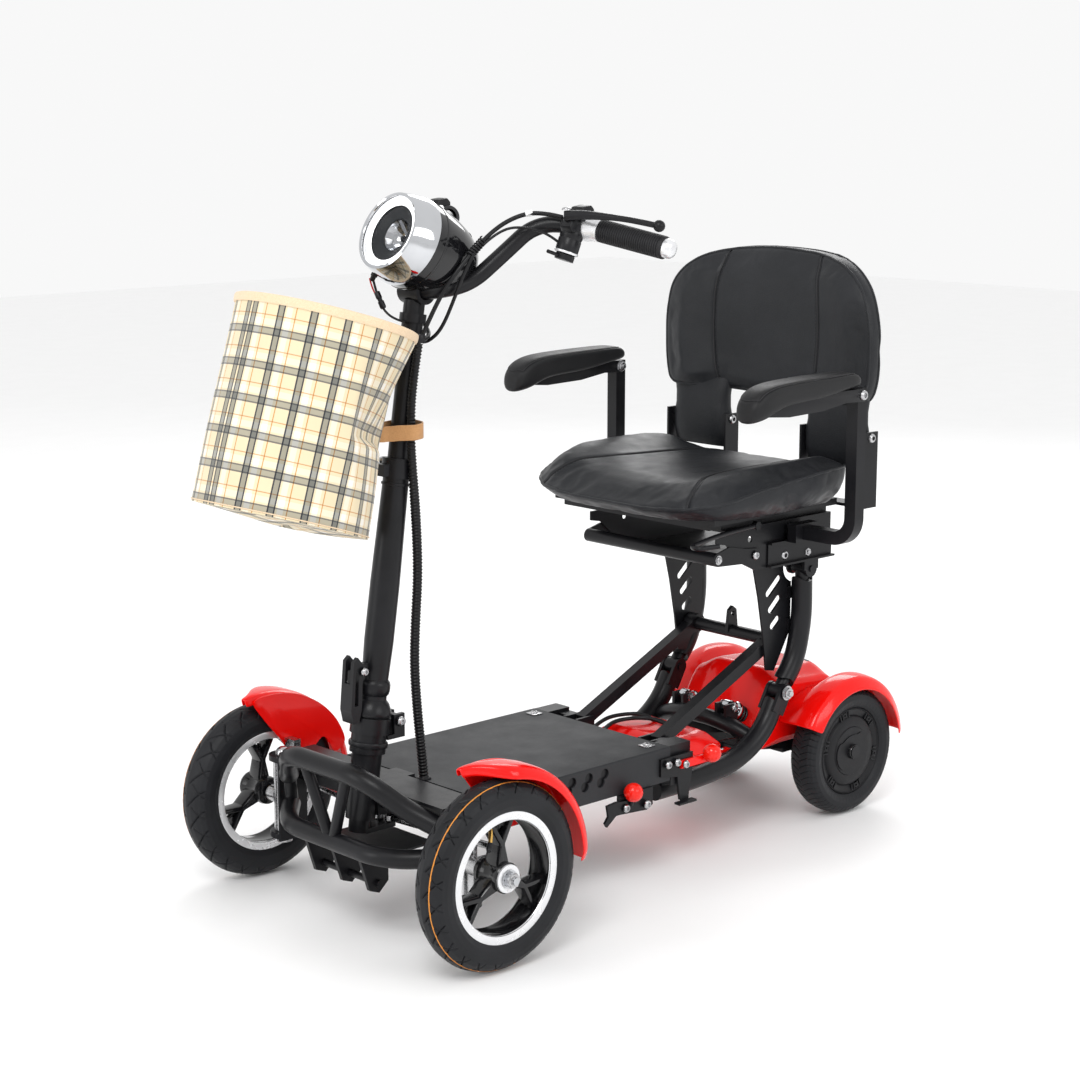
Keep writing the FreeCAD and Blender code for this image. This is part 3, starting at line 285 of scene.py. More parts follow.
BLACK = ((0.006, 0.006, 0.007), (0.010, 0.010, 0.012))
PAINTS = {
    "deck_black": ((0.016, 0.017, 0.019), (0.023, 0.024, 0.027), (0.50, 0.62),
                   dict(tone=5, grain=1300, depth=0.12, shine=0.30)),
    "frame_black": (*BLACK, (0.28, 0.38), dict(tone=12, grain=1700, depth=0.05, shine=0.24)),
    "battery_black": (*BLACK, (0.55, 0.7), dict(shine=0.3)),
    "red_gloss": ((0.80, 0.003, 0.002), (0.88, 0.005, 0.003), (0.14, 0.22),
                  dict(coat=0.20, tone=6, grain=260, depth=0.03, shine=0.22)),
    "steel_bright": ((0.40, 0.40, 0.41), (0.56, 0.56, 0.57), (0.18, 0.34),
                     dict(metallic=1.0, tone=60, grain=1900, depth=0.03)),
    "chrome": ((0.46, 0.47, 0.49), (0.60, 0.61, 0.63), (0.04, 0.09), dict(metallic=1.0)),
    "tyre_rubber": ((0.008, 0.0085, 0.010), (0.014, 0.0145, 0.017), (0.40, 0.54),
                    dict(tone=16, grain=900, depth=0.12, shine=0.22)),
    "wheel_black": ((0.004, 0.004, 0.005), (0.007, 0.007, 0.008), (0.14, 0.22),
                    dict(coat=0.2, tone=20, grain=500, depth=0.05, shine=0.35)),
    "hub_black": (*BLACK, (0.34, 0.46), dict(tone=20, grain=1400, depth=0.10, shine=0.22)),
    "pad_plastic": ((0.008, 0.008, 0.009), (0.013, 0.013, 0.014), (0.40, 0.50),
                    dict(tone=14, grain=1100, depth=0.20, shine=0.24)),
    "grip_rubber": (*BLACK, (0.5, 0.65), dict(tone=40, grain=700, depth=0.35, shine=0.35)),
    "black_plastic": (*BLACK, (0.28, 0.40), dict(tone=18, grain=1200, depth=0.06, shine=0.26)),
    "gloss_black": ((0.005, 0.005, 0.006), (0.008, 0.008, 0.009), (0.07, 0.12),
                    dict(coat=0.25, tone=8, grain=300, depth=0.02, shine=0.4)),
    "spring_black": (*BLACK, (0.2, 0.3), {}),
    "conduit_black": ((0.005, 0.005, 0.006), (0.009, 0.009, 0.010), (0.30, 0.42), dict(shine=0.26)),
    "line_orange": ((0.55, 0.18, 0.015), (0.65, 0.25, 0.03), (0.6, 0.7), {}),
    "lamp_grey": ((0.010, 0.0105, 0.012), (0.018, 0.019, 0.021), (0.3, 0.4), dict(shine=0.25)),
    "label_white": ((0.82, 0.82, 0.82), (0.9, 0.9, 0.9), (0.35, 0.5), dict(tone=300)),
    "brass": ((0.80, 0.45, 0.10), (0.90, 0.56, 0.16), (0.2, 0.3), dict(metallic=1.0)),
    "wire_red": ((0.5, 0.01, 0.01), (0.6, 0.02, 0.02), (0.35, 0.45), {}),
    "thread_black": ((0.010, 0.010, 0.012), (0.016, 0.016, 0.018), (0.6, 0.7), {}),
    "screen_dark": ((0.01, 0.014, 0.016), (0.014, 0.018, 0.02), (0.05, 0.1), dict(coat=0.6)),
    "knob_red": ((0.80, 0.010, 0.004), (0.90, 0.016, 0.007), (0.15, 0.22), dict(coat=0.2, shine=0.3)),
}


def make_materials():
    """Every finish by its name; the names the record knows are its slots."""
    made = {name: surface(name, dark, light, rough, **more) for name,
            (dark, light, rough, more) in PAINTS.items()}
    made["seat_leather"] = leather("seat_leather")
    made["lens_clear"] = clear("lens_clear")
    made["basket_fabric"] = plaid("basket_fabric")
    made["tan_tape"] = webbing("tan_tape", (0.44, 0.22, 0.085), (0.54, 0.29, 0.12))
    made["cream_tape"] = webbing("cream_tape", (0.70, 0.52, 0.33), (0.80, 0.63, 0.44))
    made["rim_silver"] = cast_metal("rim_silver")
    made["halo_white"] = glow("halo_white", (1.0, 1.0, 1.0), 1.3)
    return made


# ---------------------------------------------------------------- mesh helpers
def finish_mesh(name, mesh, material, body, crease=35.0):
    """Shade a mesh, give it its finish and hang it on a body."""
    tidy = bmesh.new()
    tidy.from_mesh(mesh)
    bmesh.ops.remove_doubles(tidy, verts=tidy.verts, dist=1e-6)
    bmesh.ops.recalc_face_normals(tidy, faces=tidy.faces)
    tidy.to_mesh(mesh)
    tidy.free()
    mesh.shade_smooth()
    mesh.set_sharp_from_angle(angle=math.radians(crease))
    piece = bpy.data.objects.new(name, mesh)
    bpy.context.scene.collection.objects.link(piece)
    piece.data.materials.append(MATERIALS[material])
    if body:
        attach(piece, body)
    return piece


def piece_from(name, verts, faces, material, body, slot=None, crease=35.0):
    """Piece from points and faces, riding a body."""
    mesh = bpy.data.meshes.new(name)
    mesh.from_pydata([tuple(v) for v in verts], [], faces)
    return finish_mesh(name, mesh, material, body, crease)


def rows_piece(name, rows, material, body, crease=35.0, **how):
    """Piece whose surface runs through rows of points."""
    verts = [p for row in rows for p in row]
    return piece_from(name, verts, ring_faces(len(rows), len(rows[0]), **how), material, body, crease=crease)


def rounded(value, power):
    """A sine or cosine swollen by a power under 1, which squares a ring off."""
    return math.copysign(abs(value) ** power, value)


def around(count):
    """Evenly spaced angles of one whole turn."""
    return [TAU * k / count for k in range(count)]


def ring_faces(rows, count, closed=True, caps=True, loop=False):
    """Quads between rows of points, each row a ring (closed) or a line."""
    faces = []
    last = rows if loop else rows - 1
    for row in range(last):
        for k in range(count if closed else count - 1):
            a = row * count + k
            b = row * count + (k + 1) % count
            shift = ((row + 1) % rows - row) * count
            faces.append((a, b, b + shift, a + shift))
    if caps and closed and not loop:
        faces.append(tuple(reversed(range(count))))
        faces.append(tuple(range((rows - 1) * count, rows * count)))
    return faces


def basis(axis):
    """Two directions square to an axis."""
    axis = Vector(axis).normalized()
    first = axis.cross(Vector((0, 1, 0)) if abs(axis.y) < 0.9 else Vector((1, 0, 0))).normalized()
    return first, axis.cross(first).normalized(), axis


def lathe_mesh(profile, base, axis, steps=72):
    """Verts and faces of a (radius, height) outline in mm turned about an axis through base."""
    u, w, n = basis(axis)
    verts = []
    for k in range(steps):
        turn = TAU * k / steps
        out = u * math.cos(turn) + w * math.sin(turn)
        verts += [base + (out * r + n * h) / 1000 for r, h in profile]
    return verts, ring_faces(steps, len(profile), closed=False, caps=False, loop=True)


def lathe(name, profile, base, axis, material, body, steps=72, slot=None, crease=35.0):
    """Piece turned about an axis."""
    verts, faces = lathe_mesh(profile, base, axis, steps)
    return piece_from(name, verts, faces, material, body, slot, crease)


def merged(parts):
    """Join several (verts, faces) pairs into one."""
    verts, faces = [], []
    for more_verts, more_faces in parts:
        shift = len(verts)
        verts += list(more_verts)
        faces += [tuple(i + shift for i in face) for face in more_faces]
    return verts, faces


def frames_along(path):
    """Directions square to a path at each point, with as little twist as they can have."""
    frames = []
    u = None
    for k in range(len(path)):
        ahead = path[min(k + 1, len(path) - 1)] - path[max(k - 1, 0)]
        ahead.normalize()
        if u is None:
            u = basis(ahead)[0]
        u = (u - ahead * u.dot(ahead)).normalized()
        frames.append((u, ahead.cross(u).normalized()))
    return frames


def tube_mesh(path, radius, steps=16):
    """Round tube along a path; radius in mm is a number or a function of (place 0..1, angle)."""
    verts = []
    for k, (point, (u, w)) in enumerate(zip(path, frames_along(path))):
        for turn in around(steps):
            r = radius(k / (len(path) - 1), turn) if callable(radius) else radius
            verts.append(point + (u * math.cos(turn) + w * math.sin(turn)) * r / 1000)
    return verts, ring_faces(len(path), steps)


def nurbs(name, points, dense):
    """Curve data of a smooth NURBS line over control points."""
    curve = bpy.data.curves.new(name, "CURVE")
    curve.dimensions = "3D"
    spline = curve.splines.new("NURBS")
    spline.points.add(len(points) - 1)
    for target, source in zip(spline.points, points):
        target.co = (*source, 1)
    spline.order_u = 3
    spline.use_endpoint_u = True
    spline.resolution_u = dense
    return curve


def spline_points(points, dense=12):
    """Points read along a smooth NURBS line whose control points are the given ones."""
    holder = bpy.data.objects.new("line", nurbs("line", points, dense))
    mesh = bpy.data.meshes.new_from_object(holder)
    path = [v.co.copy() for v in mesh.vertices]
    bpy.data.objects.remove(holder)
    bpy.data.meshes.remove(mesh)
    return path


def cable(name, points, radius, body, material="conduit_black"):
    """Smooth round cable: a NURBS curve with a bevel."""
    curve = nurbs(name, [mm(*p) for p in points], 10)
    curve.bevel_depth = radius / 1000
    curve.bevel_resolution = 4
    curve.use_fill_caps = True
    made = bpy.data.objects.new(name, curve)
    bpy.context.scene.collection.objects.link(made)
    curve.materials.append(MATERIALS[material])
    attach(made, body)
    return made


def even(path, step):
    """Points at an even spacing, in mm, along a path."""
    lengths = [0.0]
    for a, b in zip(path, path[1:]):
        lengths.append(lengths[-1] + (b - a).length * 1000)
    count = max(2, round(lengths[-1] / step))
    points, k = [], 0
    for n in range(count + 1):
        wanted = lengths[-1] * n / count
        while k < len(path) - 2 and lengths[k + 1] < wanted:
            k += 1
        share = (wanted - lengths[k]) / max(lengths[k + 1] - lengths[k], 1e-9)
        points.append(path[k].lerp(path[k + 1], share))
    return points


def slab_mesh(outline, y0, y1, bevel=0.0):
    """Flat plate from an (x, z) outline in mm between two y values, its edges rounded by bevel mm."""
    work = bmesh.new()
    face = work.faces.new([work.verts.new(mm(x, y0, z)) for x, z in outline])
    moved = bmesh.ops.extrude_face_region(work, geom=[face])
    for item in moved["geom"]:
        if isinstance(item, bmesh.types.BMVert):
            item.co.y += (y1 - y0) / 1000
    bmesh.ops.recalc_face_normals(work, faces=work.faces)
    if bevel:
        bmesh.ops.bevel(work, geom=list(work.edges), offset=bevel / 1000, segments=2, affect="EDGES",
                        profile=0.6)
    work.verts.index_update()
    result = [v.co.copy() for v in work.verts], [tuple(v.index for v in f.verts) for f in work.faces]
    work.free()
    return result


def smooth_loop(points, count):
    """Evenly numbered points on a closed smooth curve through the given ones."""
    n = len(points)
    result = []
    for k in range(count):
        t = k * n / count
        i, f = int(t), t % 1
        p0, p1, p2, p3 = (np.array(points[(i + j) % n], float) for j in (-1, 0, 1, 2))
        result.append(0.5 * ((2 * p1) + (p2 - p0) * f + (2 * p0 - 5 * p1 + 4 * p2 - p3) * f * f
                             + (3 * p1 - p0 - 3 * p2 + p3) * f ** 3))
    return result


def smooth(t):
    """Soft step from 0 to 1."""
    t = min(1.0, max(0.0, t))
    return t * t * (3 - 2 * t)


def bolt_mesh(centre, axis, radius, height, kind="button"):
    """Screw head: a button with a hex socket, a hexagon nut with a stud, or a domed rivet."""
    if kind == "nut":
        hexagon = lathe_mesh([(0, 0), (radius, 0), (radius, height * 0.85), (radius * 0.86, height),
                              (0, height)],
                             centre, axis, 6)
        stud = lathe_mesh([(0, 0), (radius * 0.5, 0), (radius * 0.5, height * 1.5),
                           (radius * 0.42, height * 1.6), (0, height * 1.6)], centre, axis, 20)
        washer = lathe_mesh([(0, -0.2), (radius * 1.25, -0.2), (radius * 1.25, height * 0.15),
                             (0, height * 0.15)], centre, axis, 28)
        return merged([hexagon, stud, washer])
    profile = [(0, 0), (radius, 0), (radius, height * 0.35), (radius * 0.86, height * 0.78),
               (radius * 0.62, height), (radius * 0.46, height), (radius * 0.44, height * 0.35),
               (0, height * 0.3)]
    if kind == "dome":
        profile = [(0, 0), (radius, 0)] + [(radius * math.cos(a), height * math.sin(a))
                                           for a in (0.3, 0.7, 1.1, 1.4)] + [(0, height)]
    return lathe_mesh(profile, centre, axis, 24)


def ball_mesh(place, radius, angles, steps):
    """Ball with a flat above and below, its outline read at some angles."""
    outline = [(radius * math.cos(a), radius * math.sin(a)) for a in angles]
    return lathe_mesh([(0, -radius)] + outline + [(0, radius)], mm(*place), (0, 0, 1), steps)


def bar_outline(centre_x, centre_z, turn, corners):
    """(x, z) points of a bar's (out, across) corners, turned about a wheel's centre."""
    c, s = math.cos(turn), math.sin(turn)
    return [(centre_x + r * c - h * s, centre_z + r * s + h * c) for r, h in corners]


def bolts(name, spots, body):
    """One piece of many fasteners; a spot is (x, y, z, axis, radius, height, kind)."""
    parts = [bolt_mesh(mm(x, y, z), axis, r, h, kind) for x, y, z, axis, r, h, kind in spots]
    return piece_from(name, *merged(parts), "steel_bright", body)


# ---------------------------------------------------------------- wheels
TYRE_STEPS = 900


def groove(angle, across, start, end, repeats, half_width, shift=0.0):
    """Depth 0..1 of a groove repeated round a tyre; start and end are (degrees, mm across)."""
    pitch = 360.0 / repeats
    scale = TAU * FRONT_R / 360
    a = np.array([start[0] * scale, start[1]])
    b = np.array([end[0] * scale, end[1]])
    deepest = np.zeros(angle.shape)
    for turn in (-1, 0, 1):
        local = ((np.degrees(angle) + shift) % pitch + turn * pitch) * scale
        px, py = local - a[0], across - a[1]
        d = b - a
        t = np.clip((px * d[0] + py * d[1]) / (d @ d), 0, 1)
        gap = np.hypot(px - t * d[0], py - t * d[1])
        deepest = np.maximum(deepest, np.clip(1.6 - gap / half_width, 0, 1))
    return deepest


def tyre(name, centre_x, side_y, centre_z, profile, cuts, depth, body):
    """Tyre: a dense outline of (radius, across) points turned round, with tread grooves pressed in."""
    outline = []
    for (r0, y0), (r1, y1) in zip(profile, profile[1:]):
        pieces = max(1, round(math.hypot(r1 - r0, y1 - y0) / 1.3))
        outline += [(r0 + (r1 - r0) * k / pieces, y0 + (y1 - y0) * k / pieces) for k in range(pieces)]
    outline = np.array(outline)
    turn = np.arange(TYRE_STEPS) * TAU / TYRE_STEPS
    angle, radius = np.meshgrid(turn, outline[:, 0], indexing="ij")
    across = np.meshgrid(turn, outline[:, 1], indexing="ij")[1]
    tread = profile[len(profile) // 2][0]
    press = np.zeros(angle.shape)
    for start, end, repeats, width, shift in cuts:
        press = np.maximum(press, groove(angle, across, start, end, repeats, width, shift))
    radius = radius - press * depth * np.clip((radius - tread + 30) / 12, 0, 1)
    x = AXLE + (centre_x + radius * np.cos(angle)) / 1000
    z = (centre_z + radius * np.sin(angle)) / 1000
    y = (side_y + across) / 1000
    verts = np.stack([x, y, z], axis=2).reshape(-1, 3)
    faces = ring_faces(TYRE_STEPS, len(outline), closed=True, caps=False, loop=True)
    return piece_from(name, verts, faces, "tyre_rubber", body, crease=60)


def make_front_tyres():
    """Front tyres with a block tread and a thin orange line on the shoulder."""
    profile = [(84, -17), (87, -21), (95, -24.6), (104, -25), (112, -23.6), (118, -20), (122.6, -14.5),
               (125.6, -8), (FRONT_R, 0), (125.6, 8), (122.6, 14.5), (118, 20), (112, 23.6), (104, 25),
               (95, 24.6), (87, 21), (84, 17), (84, -17)]
    cuts = [((0, 3.5), (3.6, 8.5), 24, 0.75, 0), ((2.6, 8), (11.5, 22.6), 24, 0.7, 0),
            ((6, 23), (14.5, 9), 24, 0.6, 0), ((0, -3.5), (3.6, -8.5), 24, 0.75, 7.5),
            ((2.6, -8), (11.5, -22.6), 24, 0.7, 7.5), ((6, -23), (14.5, -9), 24, 0.6, 7.5)]
    for name, side in SIDES.items():
        made = tyre(f"tyre_front_{name}_tread", 0, side * FRONT_Y, FRONT_R, profile, cuts, 2.6,
                    f"wheel_front_{name}")
        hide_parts(f"front_tyre_{name}")
        line = [(123.5, -0.75), (123.95, -0.6), (123.4, 0.6), (122.8, 0.75)]
        line = [(r, side * (12.5 + h)) for r, h in line]
        lathe(f"tyre_front_{name}_line", line + line[:1], mm(0, side * FRONT_Y, FRONT_R), (0, 1, 0),
              "line_orange", f"wheel_front_{name}", 220)


def make_rear_tyres():
    """Rear tyres with close cross grooves."""
    profile = [(69.3, -19), (74, -22.5), (82, -25), (90, -24.4), (95.5, -20.5), (98.8, -14), (REAR_R - 0.3, -6),
               (REAR_R, 0), (REAR_R - 0.3, 6), (98.8, 14), (95.5, 20.5), (90, 24.4), (82, 25), (74, 22.5),
               (69.3, 19), (69.3, -19)]
    cuts = [((0, 1.5), (3.4, 12), 60, 0.5, 0), ((3.4, 12), (2.2, 24), 60, 0.5, 0),
            ((0, -1.5), (3.4, -12), 60, 0.5, 3), ((3.4, -12), (2.2, -24), 60, 0.5, 3)]
    for name, side in SIDES.items():
        made = tyre(f"tyre_rear_{name}_tread", REAR_X, side * REAR_Y, REAR_R, profile, cuts, 1.7,
                    f"wheel_rear_{name}")
        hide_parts(f"rear_tyre_{name}")


SPOKE_FOOT, SPOKE_TIP = 12, 77  # radii in mm


def spoke(angle, spread, side):
    """Half of a double spoke: a tapering bar from the hub to the rim, thinner towards the rim."""
    inner = math.radians(angle - spread * 0.9)
    outer = math.radians(angle + spread)
    rows = []
    for t in (0, 0.12, 0.5, 0.9, 1.0):
        r = SPOKE_FOOT + (SPOKE_TIP - SPOKE_FOOT) * t
        a = inner + (outer - inner) * smooth(t)
        centre = Vector((r * math.cos(a), 0, r * math.sin(a)))
        along = Vector((math.cos(a), 0, math.sin(a)))
        over = Vector((-along.z, 0, along.x))
        half = 6.4 - 1.9 * smooth(t * 1.3) + (1.6 if t > 0.95 else 0)
        deep = 15.5 - 4.5 * t
        ring = []
        for turn in around(16):
            ring.append(centre + over * half * rounded(math.cos(turn), 0.6)
                        + Vector((0, side + deep * rounded(math.sin(turn), 0.6), 0)))
        rows.append([mm(p.x, side * FRONT_Y + p.y, FRONT_R + p.z) for p in ring])
    return [p for row in rows for p in row], ring_faces(len(rows), 16)


def make_front_wheels():
    """Cast wheels with three double spokes, bright lips, hub caps, valves and axle nuts."""
    for name, side in SIDES.items():
        body = f"wheel_front_{name}"
        centre = mm(0, side * FRONT_Y, FRONT_R)
        out = (0, side, 0)
        barrel = [(87, -21), (87.5, -18.5), (84.5, -16.8), (84.5, 16.8), (87.5, 18.5), (86.8, 20.6),
                  (83.9, 21.2), (76.2, 20.2), (75.2, 17), (77.5, 12), (77.5, -12), (75.2, -17), (76.2, -20.2),
                  (83.9, -21.2), (87, -21)]
        spokes = [spoke(base, spread, side) for base in (90, 210, 330) for spread in (-13, 13)]
        hub = lathe_mesh([(6.2, -25), (14, -25), (19.5, -22), (20.5, -16), (17.5, -10), (17.5, 10), (20.5, 15),
                          (20.5, 20), (19, 22), (6.2, 22), (6.2, -25)], centre, out, 48)
        ribs = []
        for base in (90, 210, 330):
            corners = bar_outline(0, FRONT_R, math.radians(base), [(13, -3), (66, -2), (66, 2), (13, 3)])
            ribs.append(slab_mesh(corners, side * FRONT_Y - 3, side * FRONT_Y + 3, 0.8))
        black = merged([lathe_mesh(barrel, centre, out, 120), hub] + spokes + ribs)
        casting = piece_from(f"wheel_front_{name}_casting", *black, "wheel_black", body)
        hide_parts(f"front_wheel_{name}")
        lip = [(87.3, 18.6), (87.2, 20.9), (84.2, 21.6), (76.6, 20.6), (75.4, 18.6), (76.2, 17.8), (84.5, 17.8),
               (87.3, 18.6)]
        lips = merged([lathe_mesh(lip, centre, out, 150),
                       lathe_mesh([(r, -h) for r, h in lip], centre, out, 150)])
        piece_from(f"wheel_front_{name}_lips", *lips, "rim_silver", body, "steel_bright")
        bearing = [(6.2, 21.5), (19.0, 21.5), (18.6, 24.0), (15.5, 25.0), (9.0, 24.0), (6.2, 24.0), (6.2, 21.5)]
        lathe(f"wheel_front_{name}_hub_cap", bearing, centre, out, "rim_silver", body, 60,
              "steel_bright")
        foot = mm(18, side * (FRONT_Y + 4), FRONT_R + 76)
        bend = mm(14, side * (FRONT_Y + 9), FRONT_R + 64)
        tip = mm(30, side * (FRONT_Y + 22), FRONT_R + 52)
        stem = tube_mesh(spline_points([foot, bend, tip]), 2.7, 14)
        piece_from(f"wheel_front_{name}_valve", *stem, "brass", body)
        cap = lathe_mesh([(0, -1), (3.6, -1), (3.9, 3), (3.9, 9), (3.0, 11), (0, 11)], tip, tip - bend, 20)
        piece_from(f"wheel_front_{name}_valve_cap", *cap, "black_plastic", body)
        knuckle = f"steering_knuckle_{name}"
        end = mm(0, side * (FRONT_Y + 25.5), FRONT_R)
        axle = merged([lathe_mesh([(0, 0), (12.4, 0), (12.4, 1.8), (0, 1.8)], end, out, 40),
                       lathe_mesh([(0, 1.8), (10.2, 1.8), (10.2, 7.4), (8.6, 8.6), (0, 8.6)], end, out, 6),
                       lathe_mesh([(0, 8), (6, 8), (5.6, 9.4), (6, 10.2), (5.6, 11.0), (5.0, 13.2), (0, 13.4)],
                                  end,
                                  out, 24)])
        piece_from(f"axle_nut_{name}", *axle, "chrome", knuckle)


def make_rear_hubs():
    """Hub motors: a stepped drum with ribs, screws, a plate and a cap."""
    for name, side in SIDES.items():
        body = f"wheel_rear_{name}"
        centre = mm(REAR_X, side * REAR_Y, REAR_R)
        out = (0, side, 0)
        drum = [(6.2, -20), (58, -20), (69, -18), (69.2, 18.5), (67.2, 20.2), (65.4, 18.0), (56.5, 15.5),
                (54.5, 18.2), (52.0, 19.6), (39, 19.9), (38, 21.3), (15, 21.8), (13.4, 20.3), (6.2, 20.3),
                (6.2, -20)]
        parts = [lathe_mesh(drum, centre, out, 120)]
        for k in range(6):
            a0 = TAU * (k + 0.25) / 6
            for offset in (-0.16, -0.07, 0.07, 0.16):
                corners = bar_outline(REAR_X, REAR_R, a0 + offset,
                                      [(55.5, -1.1), (66.4, -1.1), (66.4, 1.1), (55.5, 1.1)])
                parts.append(slab_mesh(corners, side * (REAR_Y + 12), side * (REAR_Y + 19.2), 0.4))
            spot = centre + Vector((math.cos(a0), 0, math.sin(a0))) * 0.061 + Vector((0, side * 0.012, 0))
            parts.append(lathe_mesh([(1.6, 0), (4.4, 0), (4.4, 7.0), (3.8, 7.6), (2.2, 7.6), (1.6, 6.6),
                                     (1.6, 0)],
                                    spot, out, 20))
        plate = []
        for a in around(48):
            r = 31 + 5.5 * rounded(math.cos(2 * a + 0.5), 0.35)
            plate.append((REAR_X + r * math.cos(a), REAR_R + r * math.sin(a)))
        parts.append(slab_mesh(plate, side * (REAR_Y + 20.5), side * (REAR_Y + 22.8)))
        made = piece_from(f"hub_motor_{name}_cover", *merged(parts), "hub_black", body)
        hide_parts(f"rear_hub_{name}")
        cap = [(0, 21), (11.8, 21), (11.8, 26.5), (10.6, 28.4), (7.0, 28.8), (6.2, 27.0), (0, 26.6)]
        lathe(f"hub_motor_{name}_cap", cap, centre, out, "gloss_black", body, 40)


# ---------------------------------------------------------------- red covers
def shell_piece(name, rows, thickness, material, body, level=1):
    """Thin moulded shell through rows of points, thickened inwards and smoothed."""
    piece = rows_piece(name, rows, material, body, 60, closed=False, caps=False)
    thick = piece.modifiers.new("thickness", "SOLIDIFY")
    thick.thickness = thickness / 1000
    thick.offset = -1
    if level:
        round_off = piece.modifiers.new("smooth", "SUBSURF")
        round_off.levels = round_off.render_levels = level
    return piece


def make_front_fenders():
    """A blade over each front tyre: crowned, with a turned-down lip and a rounded front tip."""
    start, end = math.radians(-17), math.radians(94)
    for name, side in SIDES.items():
        rows = []
        for k in range(41):
            t = k / 40
            turn = start + (end - start) * t
            narrow = 1 - 0.80 * (1 - smooth(t / 0.26)) ** 1.6
            rear = 1 - 0.10 * smooth((t - 0.94) / 0.06)
            inner_y = 221.5 + 4 * (1 - narrow)
            outer_y = inner_y + 61.5 * narrow * rear
            lift = 3.0 * (1 - smooth(t / 0.2))
            row = []
            for s in np.linspace(0, 1, 15):
                y = inner_y + (outer_y - inner_y) * s
                crown = 1 - abs(2 * s - 1) ** 3.4
                lip = 11.0 * (smooth((abs(2 * s - 1) - 0.80) / 0.2))
                r = 140.5 + 6.5 * crown - lip * (0.5 + 0.5 * narrow) + lift
                row.append(mm(-r * math.sin(turn), side * y, FRONT_R + r * math.cos(turn)))
            rows.append(row)
        made = shell_piece(f"fender_front_{name}_blade", rows, 2.6, "red_gloss",
                           f"steering_knuckle_{name}")
        skirt = slab_mesh(smooth_loop([(30, 265), (14, 238), (-14, 204), (-34, 178), (-64, 172), (-92, 192),
                                       (-112, 166), (-131, 178), (-121, 206), (-102, 230), (-76, 250),
                                       (-40, 266), (0, 271)], 72), side * 221.8, side * 224.4, 0.6)
        piece_from(f"fender_front_{name}_skirt", *skirt, "red_gloss",
                   f"steering_knuckle_{name}")
        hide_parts(f"front_fender_{name}")
        bolts(f"fender_front_{name}_bolts",
              [(-28, side * 224.6, 196, (0, side, 0), 5, 3, "dome"),
               (-28, side * 224.6, 182, (0, side, 0), 5, 3, "dome")],
              f"steering_knuckle_{name}")


def make_rear_cowling():
    """One red moulding: hood over the swing arm with a fender blended in at each side."""
    rows = []
    xs = np.concatenate([np.linspace(-684, -740, 12)[:-1], np.linspace(-740, -944, 40)])
    for x in xs:
        row = []
        for y in np.linspace(-84, 84, 33):
            soft = 0.0
            for dx, dy in ((0, 0), (4, 0), (-4, 0), (0, 4), (0, -4)):
                soft += hood_height(x + dx, y + dy) / 5
            row.append(mm(x, y, soft))
        drop = 118 + 26 * smooth((-x - 860) / 60)
        right, left = [[Vector((edge.x, edge.y + out * 0.004, edge.z - 0.010)),
                        Vector((edge.x, edge.y + out * 0.005, drop / 1000))]
                       for edge, out in ((row[0], -1), (row[-1], 1))]
        rows.append(right[::-1] + row + left)
    hood = shell_piece("cowling_hood", rows, 2.6, "red_gloss", "rear_unit")
    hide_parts("rear_cowling")
    for name, side in SIDES.items():
        rows = []
        for k in range(45):
            t = k / 44
            turn = math.radians(62 - 146 * t)
            row = []
            for s in np.linspace(0, 1, 17):
                inner = 84 + 6 * smooth(abs(t - 0.45) / 0.3)
                y = inner + (167 - inner) * s
                crown = 1 - abs(max(0.0, (s - 0.45) / 0.55)) ** 3.0
                saddle = -24 * (1 - smooth(s / 0.55)) * math.exp(-((t - 0.42) / 0.26) ** 2)
                lip = 12 * smooth((s - 0.86) / 0.14)
                r = 112.5 + 9.5 * crown + saddle - lip
                row.append(mm(REAR_X + r * math.sin(turn), side * y, REAR_R + r * math.cos(turn)))
            rows.append(row)
        shell_piece(f"cowling_fender_{name}", rows, 2.6, "red_gloss", "rear_unit")
    rows = [[mm(x, y, hood_height(x, y) + 2.4) for y in np.linspace(-46, 62, 25)]
            for x in np.linspace(-798, -886, 19)]
    shell_piece("cowling_inset", rows, 4.5, "black_plastic", "rear_unit", 0)


def hood_height(x, y):
    """Height of the rear hood over the point (x, y)."""
    across = abs(y)
    ridge = 231 - 6 * smooth((-x - 745) / 105) - 92 * smooth((-x - 846) / 104)
    front = 1 - smooth((x + 746) / 66)
    top = 150 + (ridge - 150) * front
    return top - 16 * smooth((across - 40) / 48) - 3 * (across / 84) ** 2


def make_controller_cover():
    """Faceted red cover behind the deck, with a sloped edge all round and a lower apron."""
    def level(grow, z):
        return [mm(x, y, z) for x,
                y in ((-492 + grow, 84 + grow), (-492 + grow, -84 - grow), (-560, -90 - grow),
                      (-618 - grow, -76 - grow), (-618 - grow, 76 + grow), (-560, 90 + grow))]
    levels = [level(0, 112), level(0, 140), level(-2, 143), level(-14, 156), level(-16, 158), level(-26, 163.6),
              level(-28, 164)]
    made = rows_piece("controller_shell", levels, "red_gloss", "chassis", 25)
    edge = made.modifiers.new("edges", "BEVEL")
    edge.width = 0.0012
    edge.segments = 2
    edge.limit_method = "ANGLE"
    edge.angle_limit = math.radians(20)
    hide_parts("controller_cover")
    apron = [slab_mesh([(-520, 132), (-622, 132), (-622, 136), (-520, 140)], side * 88 - 6, side * 88 + 6, 0.8)
             for side in SIDES.values()]
    piece_from("controller_apron", *merged(apron), "red_gloss", "chassis")
    spots = [(x, side * 88, 139.5 if x > -560 else 136, (0, 0, 1), 4.2, 2.2, "button")
             for x in (-534, -606) for side in SIDES.values()]
    bolts("controller_screws", spots, "chassis")


# ---------------------------------------------------------------- seat
CLOTH_STEPS = 20
STITCH_SHIFT = 0.0045
EDGE_POINTS = 120


